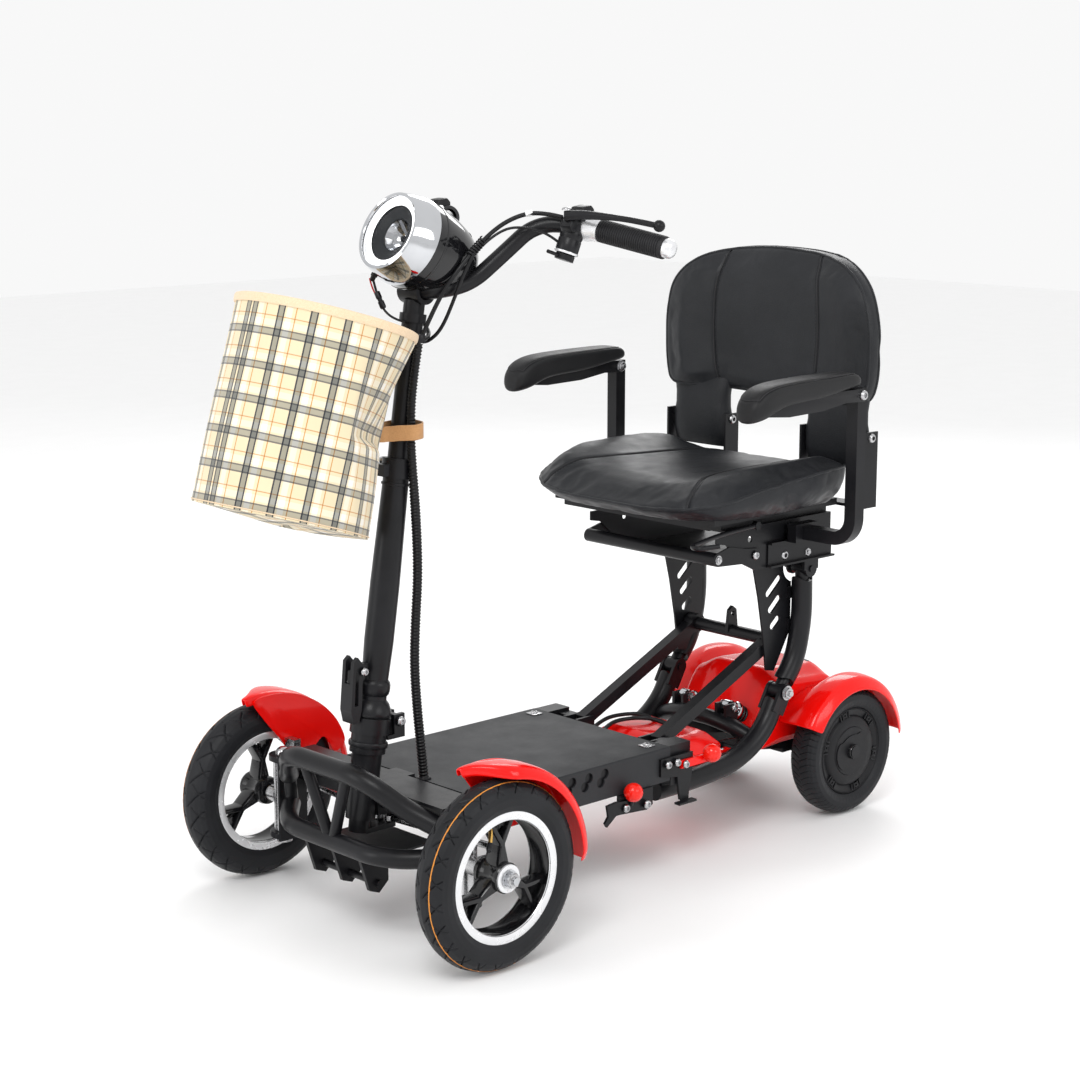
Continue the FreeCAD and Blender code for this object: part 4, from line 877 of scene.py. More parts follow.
def pad_simulation(piece, voxel, pressure, cap):
    """Remesh a closed pad and let cloth pressure puff it, never further than cap mm."""
    remesh = piece.modifiers.new("remesh", "REMESH")
    remesh.mode = "VOXEL"
    remesh.voxel_size = voxel / 1000
    apply_modifiers(piece)
    before = np.array([v.co for v in piece.data.vertices])
    cloth = piece.modifiers.new("cloth", "CLOTH")
    cloth.settings.use_pressure = True
    cloth.settings.uniform_pressure_force = pressure
    cloth.settings.effector_weights.gravity = 0
    cloth.settings.tension_stiffness = cloth.settings.compression_stiffness = 30
    cloth.settings.shear_stiffness = 15
    cloth.settings.bending_stiffness = 0.5
    cloth.point_cache.frame_start = 1
    cloth.point_cache.frame_end = CLOTH_STEPS
    scene = bpy.context.scene
    for step in range(1, CLOTH_STEPS + 1):
        scene.frame_set(step)
    apply_modifiers(piece)
    after = np.array([v.co for v in piece.data.vertices])
    move = after - before
    far = np.linalg.norm(move, axis=1, keepdims=True)
    after = before + move * np.minimum(1, cap / 1000 / np.maximum(far, 1e-9))
    piece.data.vertices.foreach_set("co", after.astype(np.float32).ravel())
    scene.frame_set(1)


def apply_modifiers(piece):
    """Make the mesh that the modifiers show the piece's own."""
    ready = bpy.data.meshes.new_from_object(piece.evaluated_get(bpy.context.evaluated_depsgraph_get()))
    piece.modifiers.clear()
    old = piece.data
    piece.data = ready
    bpy.data.meshes.remove(old)


def surface_tree(piece):
    """Search tree over a piece's faces."""
    return BVHTree.FromPolygons([v.co for v in piece.data.vertices], [p.vertices for p in piece.data.polygons])


def subdivide(piece, steps=1):
    """Make a piece's mesh some steps finer."""
    finer = piece.modifiers.new("finer", "SUBSURF")
    finer.levels = finer.render_levels = steps
    apply_modifiers(piece)
    piece.data.shade_smooth()


def surface_line(piece, points, direction, start):
    """Points of a line dropped onto a piece along a direction."""
    bpy.context.view_layer.update()
    tree = surface_tree(piece)
    landed = []
    for point in points:
        hit = tree.ray_cast(Vector(point) - Vector(direction) * start, Vector(direction))
        if hit[0]:
            landed.append(hit[0])
    return landed


def press_seams(piece, lines, depth, width):
    """Sink the surface along seam lines, as stitching does."""
    co = np.array([v.co for v in piece.data.vertices])
    normals = np.array([v.normal for v in piece.data.vertices])
    near = np.full(len(co), 1e9)
    for line in lines:
        for point in even(line, 2.0):
            near = np.minimum(near, np.linalg.norm(co - np.array(point), axis=1))
    sink = depth / 1000 * np.exp(-(near * 1000 / width) ** 2)
    piece.data.vertices.foreach_set("co", (co - normals * sink[:, None]).astype(np.float32).ravel())


def seam_thread(name, lines, body, lift):
    """Dashes of thread along seams, each a tiny capsule lying on the surface."""
    parts = []
    for line in lines:
        spots = even(line, 2.6)
        for a, b in zip(spots[::2], spots[1::2]):
            parts.append(tube_mesh([a + lift, a.lerp(b, 0.5) + lift * 1.25, b + lift], 0.42, 6))
    return piece_from(name, *merged(parts), "thread_black", body)


def seam_lines(piece, plans, direction, start):
    """Lines of points dropped onto a piece, one for each plan."""
    return [surface_line(piece, even(spline_points(plan), 3.0), direction, start) for plan in plans]


def finish_seams(name, piece, lines, direction, start, body, lift):
    """A thread along each pressed seam, and a row of stitches outboard of it."""
    for k, line in enumerate(lines):
        piece_from(f"{name}_seam_{k}", *tube_mesh(even(line, 4.0), 0.7, 8), "thread_black", body)
    beside = [[p + Vector((0, -STITCH_SHIFT if p.y > 0 else STITCH_SHIFT, 0)) for p in line] for line in lines]
    stitched = [surface_line(piece, line, direction, start) for line in beside]
    seam_thread(f"{name}_stitches", stitched, body, Vector(lift))


CUSHION_EDGE = [(-432, 0, 526), (-436, 80, 527), (-452, 148, 530), (-490, 194, 540), (-548, 212, 555),
                (-620, 217, 566), (-690, 212, 571), (-752, 198, 571), (-776, 160, 564), (-780, 80, 558)]
CUSHION_LOOP = CUSHION_EDGE + [(x, -y, z) for x, y, z in reversed(CUSHION_EDGE[1:])]


def cushion_top(x, y):
    """Height of the middle of the seat: gently hollow, with low bolsters along the sides."""
    back = smooth((-x - 455) / 120)
    bolster = 20 * smooth((abs(y) - 85) / 95)
    front = -16 * smooth((x + 520) / 90)
    return 552 + front + 4 * back + bolster * (0.3 + 0.7 * back)


def cushion_rows():
    """Rings of the seat cushion, from under its middle round the edge to the top."""
    edge = smooth_loop(CUSHION_LOOP, EDGE_POINTS)
    rows = []
    for s, drop in ((0.62, 511.6), (0.80, 512), (0.90, 515), (0.965, 0.30), (0.992, 0.62), (1.0, 1.0)):
        row = []
        for x, y, z in edge:
            px, py = -610 + (x + 610) * s, y * s
            row.append((px, py, drop if drop > 2 else 515 + (z - 515) * drop))
        rows.append(row)
    for s in (0.985, 0.955, 0.90, 0.82, 0.70, 0.55, 0.38, 0.20, 0.06):
        row = []
        for x, y, z in edge:
            px, py = -610 + (x + 610) * s, y * s
            blend = 1 - (1 - (1 - s) / 0.30) ** 2.4 if s > 0.70 else 1
            row.append((px, py, z + (cushion_top(px, py) - z) * blend))
        rows.append(row)
    return [[mm(*p) for p in row] for row in rows]


def make_cushion():
    """Seat cushion with pressed seams, stitches and piping."""
    piece = rows_piece("seat_cushion", cushion_rows(), "seat_leather", "seat_slide")
    pad_simulation(piece, 5.0, 4.0, 6.0)
    subdivide(piece)
    plan = ((-780, 88), (-700, 94), (-610, 104), (-540, 118), (-490, 136), (-455, 150))
    plans = [[mm(x, side * y, 560) for x, y in plan] for side in SIDES.values()]
    lines = seam_lines(piece, plans, (0, 0, -1), 0.12)
    press_seams(piece, lines, 2.6, 3.2)
    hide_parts("cushion")
    tree = surface_tree(piece)
    ring = [tree.find_nearest(mm(*p))[0] for p in smooth_loop(CUSHION_LOOP, 160)]
    piping = tube_mesh(ring + [ring[0]], 2.4, 10)
    piece_from("seat_cushion_piping", *piping, "seat_leather", "seat_slide")
    finish_seams("seat_cushion", piece, lines, (0, 0, -1), 0.12, "seat_slide", (0, 0, 0.0003))


BACK_EDGE = [(0, 881), (90, 875), (152, 858), (192, 824), (208, 776), (211, 726), (208, 682), (196, 656),
             (160, 649), (80, 647), (0, 646)]
BACK_LOOP = BACK_EDGE + [(-y, z) for y, z in reversed(BACK_EDGE[1:-1])]


def back_front(y, z):
    """How far forward the backrest's face stands: hollow in the middle, proud at the sides."""
    side = smooth((abs(y) - 70) / 130)
    return -803 + 22 * side + 5 * smooth((690 - z) / 60) - 6 * smooth((z - 800) / 80)


def backrest_rows():
    """Rings of the backrest, from the middle of its rear round the edge to the middle of its face."""
    edge = smooth_loop(BACK_LOOP, EDGE_POINTS)
    middle = 762
    rows = []
    for s, depth in ((0.05, 35), (0.45, 35), (0.80, 35), (0.93, 33.5), (0.98, 29), (1.0, 21), (1.003, 12),
                     (1.0, 4), (0.98, -1.5), (0.94, -5), (0.86, -6.8), (0.72, -7.6), (0.50, -8), (0.25, -8),
                     (0.05, -8)):
        row = []
        for y, z in edge:
            py, pz = y * s, middle + (z - middle) * s
            row.append(mm(back_front(py, pz) - depth, py, pz))
        rows.append(row)
    return rows


def make_backrest():
    """Backrest cushion with pressed seams, stitches and two lines of piping."""
    piece = rows_piece("seat_backrest", backrest_rows(), "seat_leather", "seat_back")
    pad_simulation(piece, 5.0, 4.0, 5.0)
    subdivide(piece)
    plan = ((96, 650), (104, 700), (107, 760), (103, 820), (92, 872))
    plans = [[mm(-700, side * y, z) for y, z in plan] for side in SIDES.values()]
    lines = seam_lines(piece, plans, (-1, 0, 0), 0.1)
    press_seams(piece, lines, 2.4, 3.0)
    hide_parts("backrest")
    tree = surface_tree(piece)
    for label, depth in (("front", 1), ("rear", 28)):
        ring = []
        for y, z in smooth_loop(BACK_LOOP, 160):
            ring.append(tree.find_nearest(mm(back_front(y, z) - depth, y, z))[0])
        piece_from(f"seat_backrest_piping_{label}", *tube_mesh(ring + [ring[0]], 2.2, 10), "seat_leather",
                   "seat_back")
    finish_seams("seat_backrest", piece, lines, (-1, 0, 0), 0.1, "seat_back", (0.0003, 0, 0))


STALK = ((558, 50, 6), (562, 55, 9), (580, 59, 12), (604, 59, 13.5), (622, 55, 13.5), (640, 55, 13),
         (656, 58, 12), (668, 60, 9))


def make_back_stalks():
    """Padded covers of the backrest's hinge legs, waisted, between the two cushions."""
    for name, side in SIDES.items():
        rows = []
        for z, half, deep in STALK:
            rows.append([mm(-800 + deep * rounded(math.cos(turn), 0.7),
                            side * 138 + half * rounded(math.sin(turn), 0.5), z)
                         for turn in around(32)])
        rows_piece(f"backrest_stalk_{name}", rows, "seat_leather", "seat_back")
        bolts(f"backrest_bolts_{name}",
              [(-800, side * 203.6, 603, (0, side, 0), 7, 4, "button"),
               (-800, side * 76, 603, (0, -side, 0), 7, 4, "button")], "seat_slide")


ARMREST = ((-473.5, 5, 664, 676, 0.9), (-475, 14, 660, 684, 0.9), (-480, 19.5, 659, 693, 0.75),
           (-492, 22.5, 661, 703, 0.6), (-508, 23.4, 665, 709, 0.5), (-530, 23.4, 675, 712.5, 0.5),
           (-560, 23.2, 679, 714, 0.5), (-600, 23.0, 680, 715, 0.5), (-640, 22.6, 684, 715.4, 0.5),
           (-670, 22.0, 689, 715.4, 0.5), (-690, 21.4, 692.4, 715, 0.5), (-702, 20, 693.2, 712, 0.6),
           (-708, 16, 695.4, 707, 0.8), (-709.5, 8, 698, 702, 0.9))


def armrest_rows(side):
    """Cross-sections of an armrest pad from its drooping nose to its rounded tail."""
    rows = []
    for x, half, low, high, flat in ARMREST:
        rows.append([mm(x, side * (239.5 + half * rounded(math.cos(turn), flat)),
                        (low + high) / 2 + (high - low) / 2 * rounded(math.sin(turn),
                                                                      flat)) for turn in around(40)])
    return rows


def make_armrests():
    """Pads with a pressed seam on folded channels, and the bolts they turn on."""
    cheek = [(-504, 668), (-548, 664), (-620, 666), (-672, 673), (-712, 671), (-719, 680), (-712, 690.4),
             (-504, 691)]
    for name, side in SIDES.items():
        body = f"arm_{name}"
        pad = rows_piece(f"armrest_{name}_pad", armrest_rows(side), "pad_plastic", body, 60)
        subdivide(pad, 2)
        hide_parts(f"armrest_pad_{name}")
        line = [(-486, 18), (-500, 19.5), (-540, 19.8), (-620, 19.4), (-680, 18.4), (-698, 14), (-702, 0)]
        ring = [mm(x, side * 239.5 + y, 740) for x, y in line]
        ring += [mm(x, side * 239.5 - y, 740) for x, y in reversed(line[:-1])]
        ring += [mm(-480, side * 239.5 - 8, 740), mm(-480, side * 239.5 + 8, 740)]
        path = surface_line(pad, even(spline_points(ring + ring[:1]), 3.0), (0, 0, -1), 0.05)
        press_seams(pad, [path], 1.1, 1.6)
        piece_from(f"armrest_{name}_seam", *tube_mesh(path, 0.6, 8), "thread_black", body)
        plates = [slab_mesh(cheek, side * y0, side * y1, 0.5) for y0, y1 in ((232.4, 235.6), (256.4, 259.6))]
        bridge = slab_mesh([(-504, 668), (-560, 664.5), (-560, 667.5), (-504, 671)], side * 235.6,
                           side * 256.4, 0.3)
        piece_from(f"armrest_{name}_channel", *merged(plates + [bridge]), "frame_black", body)
        bolts(f"armrest_{name}_bolt", [(-708, side * 259.8, 681, (0, side, 0), 7.4, 4.6, "button"),
                                                  (-708, side * 232.2, 681, (0, -side, 0), 7.4, 5, "nut")],
              body)


# ---------------------------------------------------------------- seat metalwork
# spots are (x, y, z, radius, height, kind), mirrored to each side
SEAT_BOLTS = (
    ("seat_base_bolts", "seat_frame",
     ((-690, 131.7, 430, 7.5, 4.2, "button"), (-742, 131.7, 428, 6.5, 4, "nut"),
                                       (-621, 136.6, 440, 6.5, 3.4, "button"))),
    ("release_bolt", "release", ((-542, 135.1, 443, 5.5, 3, "nut"),)),
    ("socket_bolt", "seat_frame", ((-709, 158.2, 467, 6, 3.4, "button"),)),
    ("post_bolts", "chassis", ((-708, 128.4, 213, 9, 6, "nut"),)))


def make_seat_bolts():
    """Bolts of the seat's side plates, its release bar, the armrest sockets and the rear posts."""
    for name, side in SIDES.items():
        for label, body, spots in SEAT_BOLTS:
            bolts(f"{label}_{name}", [(x, side * y, z, (0, side, 0), r, h, kind)
                                                 for x, y, z, r, h, kind in spots], body)


# ---------------------------------------------------------------- cords
CONDUIT = [(-76, 20.5, 783), (-64, 20.5, 728), (-59, 22, 668), (-56, 29.5, 618), (-68, 22, 535), (-71, 20, 470),
           (-66, 20, 410), (-62, 21, 351), (-65, 22, 292), (-71, 22, 237), (-77, 21, 189.2)]
BUNDLE = [(-233, 130, 947), (-222, 103, 953), (-200, 80, 949), (-165, 66, 929), (-112, 61.5, 883.5)]
BUNDLE_LEFT = [(-92, 40, 840), (-77, 22.5, 787)]
BUNDLE_RIGHT = [(-106, -46, 842), (-112, -8, 804), (-100, 16, 790), (-84, 21.5, 788)]
THIN_CABLE = [(-240, 130, 905), (-222, 121, 924), (-196, 96, 935), (-170, 77, 931), (-148, 69.5, 912)]
CROSS_CABLE = [(-101, 9, 782), (-108, 30, 800), (-115, 50, 845), (-122, 62, 880), (-133, 67.5, 901)]
LAMP_LEAD = [(-40, -29, 868), (-45, -26, 842), (-51, -10, 816), (-60, 12, 812)]
LEADS = [[(-450.6, -14, 164), (-472, -28, 170), (-502, -36, 175), (-537, -25, 176), (-556, 8, 176),
          (-564, 48, 160)],
         [(-450.6, -40, 164), (-475, -50, 170), (-507, -55, 176), (-537, -51, 176), (-560, -34, 176),
          (-578, -8, 160)]]


def flipped(points):
    """The same points on the other side."""
    return [(x, -y, z) for x, y, z in points]


RIB_PITCH = 4.6


def ribbed(name, path, body, ends=None):
    """Corrugated conduit along a stretch of its path; ends, where given, name the bodies at its two ends, and
    then only its placing is baked into its points.
    """
    length = sum((b - a).length for a, b in zip(path, path[1:])) * 1000
    rings = max(2, round(length / RIB_PITCH))
    dense = even(path, 0.6)

    def radius(place, turn):
        wave = math.cos(TAU * place * rings)
        height = dense[min(len(dense) - 1, round(place * (len(dense) - 1)))].z
        return 6.35 - 0.8 * smooth((height - 0.56) / 0.07) + 0.6 * rounded(wave, 0.6)

    piece = piece_from(name, *tube_mesh(dense, radius, 18), "conduit_black", body, crease=60)
    if ends:
        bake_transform(piece)
    return piece


def make_conduit():
    """One conduit in three stretches: a foot by the steering head and a top by the stem, which ride no body,
    and a middle that follows the column on the tiller.
    """
    path = even(spline_points([mm(*p) for p in CONDUIT], 24), 1.0)
    low = [p for p in path if p.z < 0.246]
    middle = [p for p in path if 0.244 < p.z < 0.640]
    high = [p for p in path if p.z > 0.638]
    foot = ribbed("conduit_foot", low, None, ("chassis", "steerer"))
    ribbed("conduit_column", middle, "tiller")
    ribbed("conduit_stem", high, None, ("tiller", "stem"))
    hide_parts("conduit")
    grommet = lathe_mesh([(7.1, 0.1), (10.5, 0.1), (10.5, 1.4), (9, 3.0), (7.1, 3.0)], mm(-77, 21, DECK_TOP),
                         (0, 0, 1), 32)
    piece_from("conduit_grommet", *grommet, "black_plastic", "chassis")


WRAP_PITCH = 4.2


def spiral_wrap(name, path, radius, body):
    """Spiral cable wrap: a flat band wound round the path."""
    turns = sum((b - a).length for a, b in zip(path, path[1:])) * 1000 / WRAP_PITCH
    dense = even(path, 0.35)
    verts = []
    for k, (point, (u, w)) in enumerate(zip(dense, frames_along(dense))):
        turn = TAU * turns * k / (len(dense) - 1)
        out = u * math.cos(turn) + w * math.sin(turn)
        along = u.cross(w).normalized()
        for r, h in ((radius - 1.2, -1.6), (radius - 0.3, -1.3), (radius + 0.2, 0), (radius - 0.3, 1.3),
                     (radius - 1.2, 1.6), (radius - 1.8, 0)):
            verts.append(point + (out * r + along * h) / 1000)
    return piece_from(name, verts, ring_faces(len(dense), 6), "conduit_black", body)


def make_bar_cables():
    """Bundles, thin cables, their wraps and labels, the lamp's lead and the conduit's socket."""
    first = cable("cable_bundle_left", BUNDLE + BUNDLE_LEFT, 3, "stem")
    cable("cable_bundle_right", flipped(BUNDLE) + BUNDLE_RIGHT, 3, "stem")
    cable("cable_crossing", flipped(CROSS_CABLE)[::-1] + CROSS_CABLE, 2.5, "stem")
    cable("lamp_lead", LAMP_LEAD, 1.6, "stem")
    cable("lamp_lead_red", [(-38, -33, 868), (-40, -33, 858), (-44, -30, 848)], 1.1, "stem", "wire_red")
    plug = lathe_mesh([(0, 0), (3.4, 0), (4.0, 1), (4.0, 9), (3.2, 10), (3.2, 13), (4.2, 14), (4.2, 22),
                       (3.2, 24), (0, 24)], mm(-44.5, -27, 850), (-4.5, 11, -25), 20)
    piece_from("lamp_plug", *plug, "black_plastic", "stem")
    gland = lathe_mesh([(0, -4), (2.4, -4), (3.4, -2), (3.6, 2), (4.6, 3), (4.6, 22), (0, 22)],
                       mm(-40, -29, 868),
                       (-11, 12, 34), 20)
    piece_from("lamp_gland", *gland, "black_plastic", "stem")
    for name, side in SIDES.items():
        points = THIN_CABLE if side > 0 else flipped(THIN_CABLE)
        cable(f"cable_thin_{name}", points, 1.8, "stem")
        start, end = (Vector(BUNDLE[3]), Vector(BUNDLE[4]))
        line = [start.lerp(end, 0.24 + 0.42 * k / 12) for k in range(13)]
        spiral_wrap(f"spiral_wrap_{name}", [mm(p.x, side * p.y, p.z) for p in line], 6.2, "stem")
        label = ((-214, 93, 951.7), (-210.5, 89.5, 951.3), (-207, 86.5, 950.6))
        tape = tube_mesh([mm(x, side * y, z) for x, y, z in label], 4.1, 20)
        piece_from(f"cable_label_{name}", *tape, "label_white", "stem")
    socket = lathe_mesh([(0, 0), (7.2, 0), (7.8, 1), (7.8, 10), (6.8, 12), (0, 12)], mm(-75.7, 21.5, 784),
                        (-1.8, 0, 12), 32)
    piece_from("conduit_socket", *socket, "black_plastic", "stem")
    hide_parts("bar_cables")


def make_leads():
    """Motor leads behind the deck."""
    for number, points in enumerate(LEADS):
        cable(f"motor_lead_{number}", points, 3, "chassis")


# ---------------------------------------------------------------- headlight
LAMP = Vector((-44, 0, 931))
REFLECTOR_R = 21.4
LAMP_AXIS = Vector((math.cos(math.radians(25)), 0, math.sin(math.radians(25))))


def lamp(name, profile, material, steps=96, crease=30):
    """Piece turned about the lamp's axis."""
    return lathe(name, profile, mm(*LAMP), LAMP_AXIS, material, "stem", steps, None, crease)


def make_headlight():
    """Round headlight: shell, band, bright ring, halo, faceted reflector, bulb and lens."""
    shell = [(0, -142), (16, -141.4), (30, -137.5), (40, -129), (47.5, -117), (53.5, -101), (57.4, -84),
             (60, -60), (60.8, -48), (60.6, -37), (57.5, -36.3), (56.5, -50), (55, -70), (50, -95), (40, -120),
             (20, -136), (0, -138)]
    housing = lamp("headlight_shell", shell, "gloss_black", 128)
    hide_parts("headlight_housing")
    ridge = [(60.6, -53), (61.5, -52), (61.5, -49.5), (60.6, -48.5), (60.2, -50)]
    lamp("headlight_band", ridge, "gloss_black", 128)
    ring = [(47.6, -8), (47.6, -1.5), (49, 1.6), (51, 2.8), (53.4, 1.6), (55.2, -3), (57.6, -12), (60.2, -22),
            (62, -31), (62.2, -35), (61.2, -36.2), (58, -36), (56, -20), (51.5, -9)]
    bezel = lamp("headlight_ring", ring, "chrome", 128)
    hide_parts("headlight_bezel")
    lamp("headlight_halo", [(38.5, -5.6), (40, -3.8), (46, -4.2), (47.4, -6), (47.4, -9), (38.5, -9)],
         "halo_white")
    lamp("headlight_step", [(21.5, -15), (23, -13.2), (37, -9), (38.7, -6.4), (38.7, -11), (21.5, -18)],
         "lamp_grey")
    facets = []
    for k in range(9):
        r = REFLECTOR_R - k * 2.3
        facets.append((max(r, 1.2), -14 - 20 * (1 - (r / REFLECTOR_R) ** 2)))
    cup = facets + [(1.2, -37), (24, -37), (24, -15)]
    lamp("headlight_reflector", cup, "chrome", 14, crease=8)
    lamp("headlight_bulb", [(0, -24), (3.2, -24.6), (4.6, -27), (4.6, -34), (0, -34)], "lamp_grey", 24)
    lens = lamp("headlight_glass",
                [(0, 1.2), (14, 0.4), (28, -1.4), (40, -3.0), (47.4, -4.4), (47.4, -5.6), (40, -4.2),
                 (28, -2.6), (14, -0.8), (0, 0)], "lens_clear")
    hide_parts("headlight_lens")
    make_vents()
    make_display()


def make_vents():
    """Three slots over the lamp's housing."""
    n = basis(LAMP_AXIS)[2]
    out = (Vector((0, 0, 1)) - n * n.z).normalized()
    for index in range(3):
        turn = math.radians(90 + (index - 1) * 17)
        across = n.cross(out)
        radial = out * math.sin(turn) + across * math.cos(turn)
        side = n.cross(radial)
        centre = LAMP + n * -76 + radial * 57.9
        verts = []
        for depth in (-1.5, 0.9):
            for a, b in ((-9, -1.6), (9, -1.6), (9, 1.6), (-9, 1.6)):
                verts.append(mm(*(centre + n * a + side * b + radial * depth)))
        faces = [(0, 1, 2, 3), (7, 6, 5, 4), (0, 4, 5, 1), (1, 5, 6, 2), (2, 6, 7, 3), (3, 7, 4, 0)]
        piece_from(f"headlight_vent_{index}", verts, faces, "black_plastic", "stem")


def make_display():
    """Rounded display on the back of the lamp's housing."""
    rear = LAMP + LAMP_AXIS * -119
    up = (Vector((0, 0, 1)) - LAMP_AXIS * LAMP_AXIS.z).normalized()
    face = (up * 0.75 - LAMP_AXIS * 0.66).normalized()
    across = Vector((0, 1, 0))
    down = face.cross(across)
    centre = rear + up * 37
    outline = [(24 * rounded(math.cos(a), 0.45), 13 * rounded(math.sin(a), 0.45)) for a in around(40)]

    def ring(depth, share):
        return [mm(*(centre + across * a * share + down * b * share + face * depth)) for a, b in outline]

    casing = [ring(depth, share) for depth,
              share in ((-9, 1.0), (2.2, 1.0), (3.0, 0.95), (2.2, 0.86), (2.2, 0.0))]
    rows_piece("headlight_display", casing, "black_plastic", "stem")
    rows_piece("headlight_screen", [ring(2.25, 0.84), ring(2.6, 0.84)], "screen_dark", "stem")


# ---------------------------------------------------------------- handlebar
def along_bar(side):
    """The bar's end and the direction of its axis inboard."""
    return Vector((-293, side * 262, 910)), Vector((31, -124 * side, 25)).normalized()


def ribs(radius, low, high, pitch, depth):
    """Outline of a ribbed rubber sleeve."""
    line, place = [], low
    while place + pitch <= high:
        line += [(radius, place), (radius, place + pitch * 0.55), (radius - depth, place + pitch * 0.65),
                 (radius - depth, place + pitch * 0.9)]
        place += pitch
    return line + [(radius, place), (radius, high)]


def make_grips():
    """Rubber sleeves with a metal cap and collar."""
    for name, side in SIDES.items():
        end, inward = along_bar(side)
        sleeve = lathe(f"grip_{name}", [(11.1, 0.5), (14.2, 0.5), (15.2, 2)] + ribs(15.4, 4, 96, 3.4, 0.8)
                       + [(15.2, 99), (14, 100), (11.1, 100)], mm(*end), inward, "grip_rubber", "stem", 56)
        lathe(f"grip_cap_{name}",
              [(0, -12.6), (6, -12.4), (10, -11), (12.2, -8), (12.8, -5), (13.0, -0.5), (13.0, 0.4), (0, 0.4)],
              mm(*end), inward, "rim_silver", "stem", 56)
        lathe(f"grip_collar_{name}",
              [(11.2, 100.5), (15.4, 100.5), (16, 104), (16.4, 110), (18.4, 117), (18.9, 120), (18.9, 123.5),
               (18, 125), (11.2, 125)], mm(*end), inward, "rim_silver",
              "stem", 64)
        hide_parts("grips")


def make_pods():
    """Lever blocks, switch boxes and round throttle housings beside the grips."""
    for name, side in SIDES.items():
        block = merged([slab_mesh([(-267, 941), (-243, 941), (-241, 951), (-245, 961), (-262, 963),
                                   (-268, 957)],
                                  side * 134, side * 156, 3.0),
                        slab_mesh([(-262, 928), (-230, 928), (-226, 936), (-230, 944), (-262, 944)], side * 131,
                                  side * 152, 2.5)])
        body = piece_from(f"control_block_{name}", *block, "black_plastic", "stem")
        end, inward = along_bar(side)
        head, foot = Vector((-246, side * 137, 929)), Vector((-236, side * 133, 898))
        axis = foot - head
        drum = [(0, -2), (11, -2), (14.6, 0), (15.6, 3), (15.6, 10), (15.0, 11), (15.0, 12), (15.6, 13),
                (15.6, 27), (14.6, 31), (12.4, 32.6), (0, 32.6)]
        lathe(f"control_drum_{name}", drum, mm(*head), axis, "black_plastic", "stem", 56)
        lathe(f"control_edge_{name}",
              [(15.4, 28.4), (16.4, 28.8), (16.6, 30), (16.2, 31.4), (15.0, 31.8), (14.6, 30)],
              mm(*head), axis, "rim_silver", "stem", 56)
        clamp = lathe_mesh([(11.2, 126), (15.8, 126), (16.6, 127.5), (16.6, 139), (15.8, 140.5), (11.2, 140.5)],
                           mm(*end), inward, 48)
        piece_from(f"control_clamp_{name}", *clamp, "black_plastic", "stem")
        bolts(f"control_screw_{name}", [(-229, side * 142, 957, (0, 0, 1), 6.2, 3.4, "button"),
                                        (-255, side * 156.2, 951, (0, side, 0), 3.4, 1.6, "button")], "stem")
        if name == "left":
            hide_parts("control_pods")


def lever_path(side):
    """Points of a brake lever from its pivot to its ball."""
    return [(-229, side * 140, 949), (-236, side * 158, 951), (-248, side * 186, 950), (-262, side * 215, 947),
            (-272, side * 240, 943), (-280, side * 262, 939)]


def make_levers():
    """Tapering brake blades with a ball at the tip."""
    for name, side in SIDES.items():
        path = even(spline_points([mm(*p) for p in lever_path(side)], 16), 2.0)

        def radius(place, turn):
            wide = 5.6 - 2.4 * smooth(place * 1.6)
            return wide * (1.25 if abs(math.sin(turn)) < 0.6 else 0.9)

        blade = piece_from(f"brake_blade_{name}", *tube_mesh(path, radius, 20), "frame_black", f"lever_{name}",
                           crease=50)
        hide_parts(f"brake_lever_{name}")
        ball = ball_mesh((-280, side * 262, 939), 8, (-1.2, -0.8, -0.4, 0, 0.4, 0.8, 1.2), 32)
        piece_from(f"brake_ball_{name}", *ball, "frame_black", f"lever_{name}", crease=60)


# ---------------------------------------------------------------- basket
BASKET_TOP = Vector((59, 0, 828))
BASKET_FOOT = Vector((139, 0, 573))
BASKET_R = 118.5
BASKET_WALL = 0.2673  # height of the cloth in metres
DENT_AT = 0.46  # share of the height where the dent is deepest
RING = 180  # points round the basket


def basket_out(turn):
    """Direction out of the basket's axis; 0 is ahead and + is left."""
    left = Vector((0, 1, 0))
    return left.cross(BASKET_TOP - BASKET_FOOT).normalized() * math.cos(turn) + left * math.sin(turn)


def basket_point(turn, share, radius):
    """Point on the basket's wall: turn about its axis (0 is ahead, + is left), share from floor to rim."""
    axis = BASKET_TOP - BASKET_FOOT
    up = axis.normalized()
    out = basket_out(turn)
    sag = 3.0 * (1 - smooth(share * 2.2)) * (0.6 + 0.4 * math.cos(2 * turn + 0.6))
    bulge = (1.4 * math.sin(math.pi * share) * math.sin(3 * turn + 1.2)
             + 0.8 * math.sin(2 * math.pi * share + turn * 2))
    above = share > DENT_AT
    push = ((0.95 - share) / 0.45 if above
            else 0.97 - 0.45 * smooth((DENT_AT - share) / 0.05) - 0.95 * (0.42 - share))
    push = max(0.0, min(1.0, push))
    first = 1.40 + (0.12 * (0.9 - share) if above else 0.05 + 0.9 * (DENT_AT - share))
    half = (2.98 - first) / 2
    across = turn - first - half
    flat = math.cos(half) / math.cos(across) if abs(across) < half else 1.0
    r = (radius - 1.5 * (1 - share)) * (1 - push * (1 - flat)) + bulge * (1 - push * (abs(across) < half))
    return BASKET_FOOT + up * (axis.length * share - sag * (1 - share)) + out * r


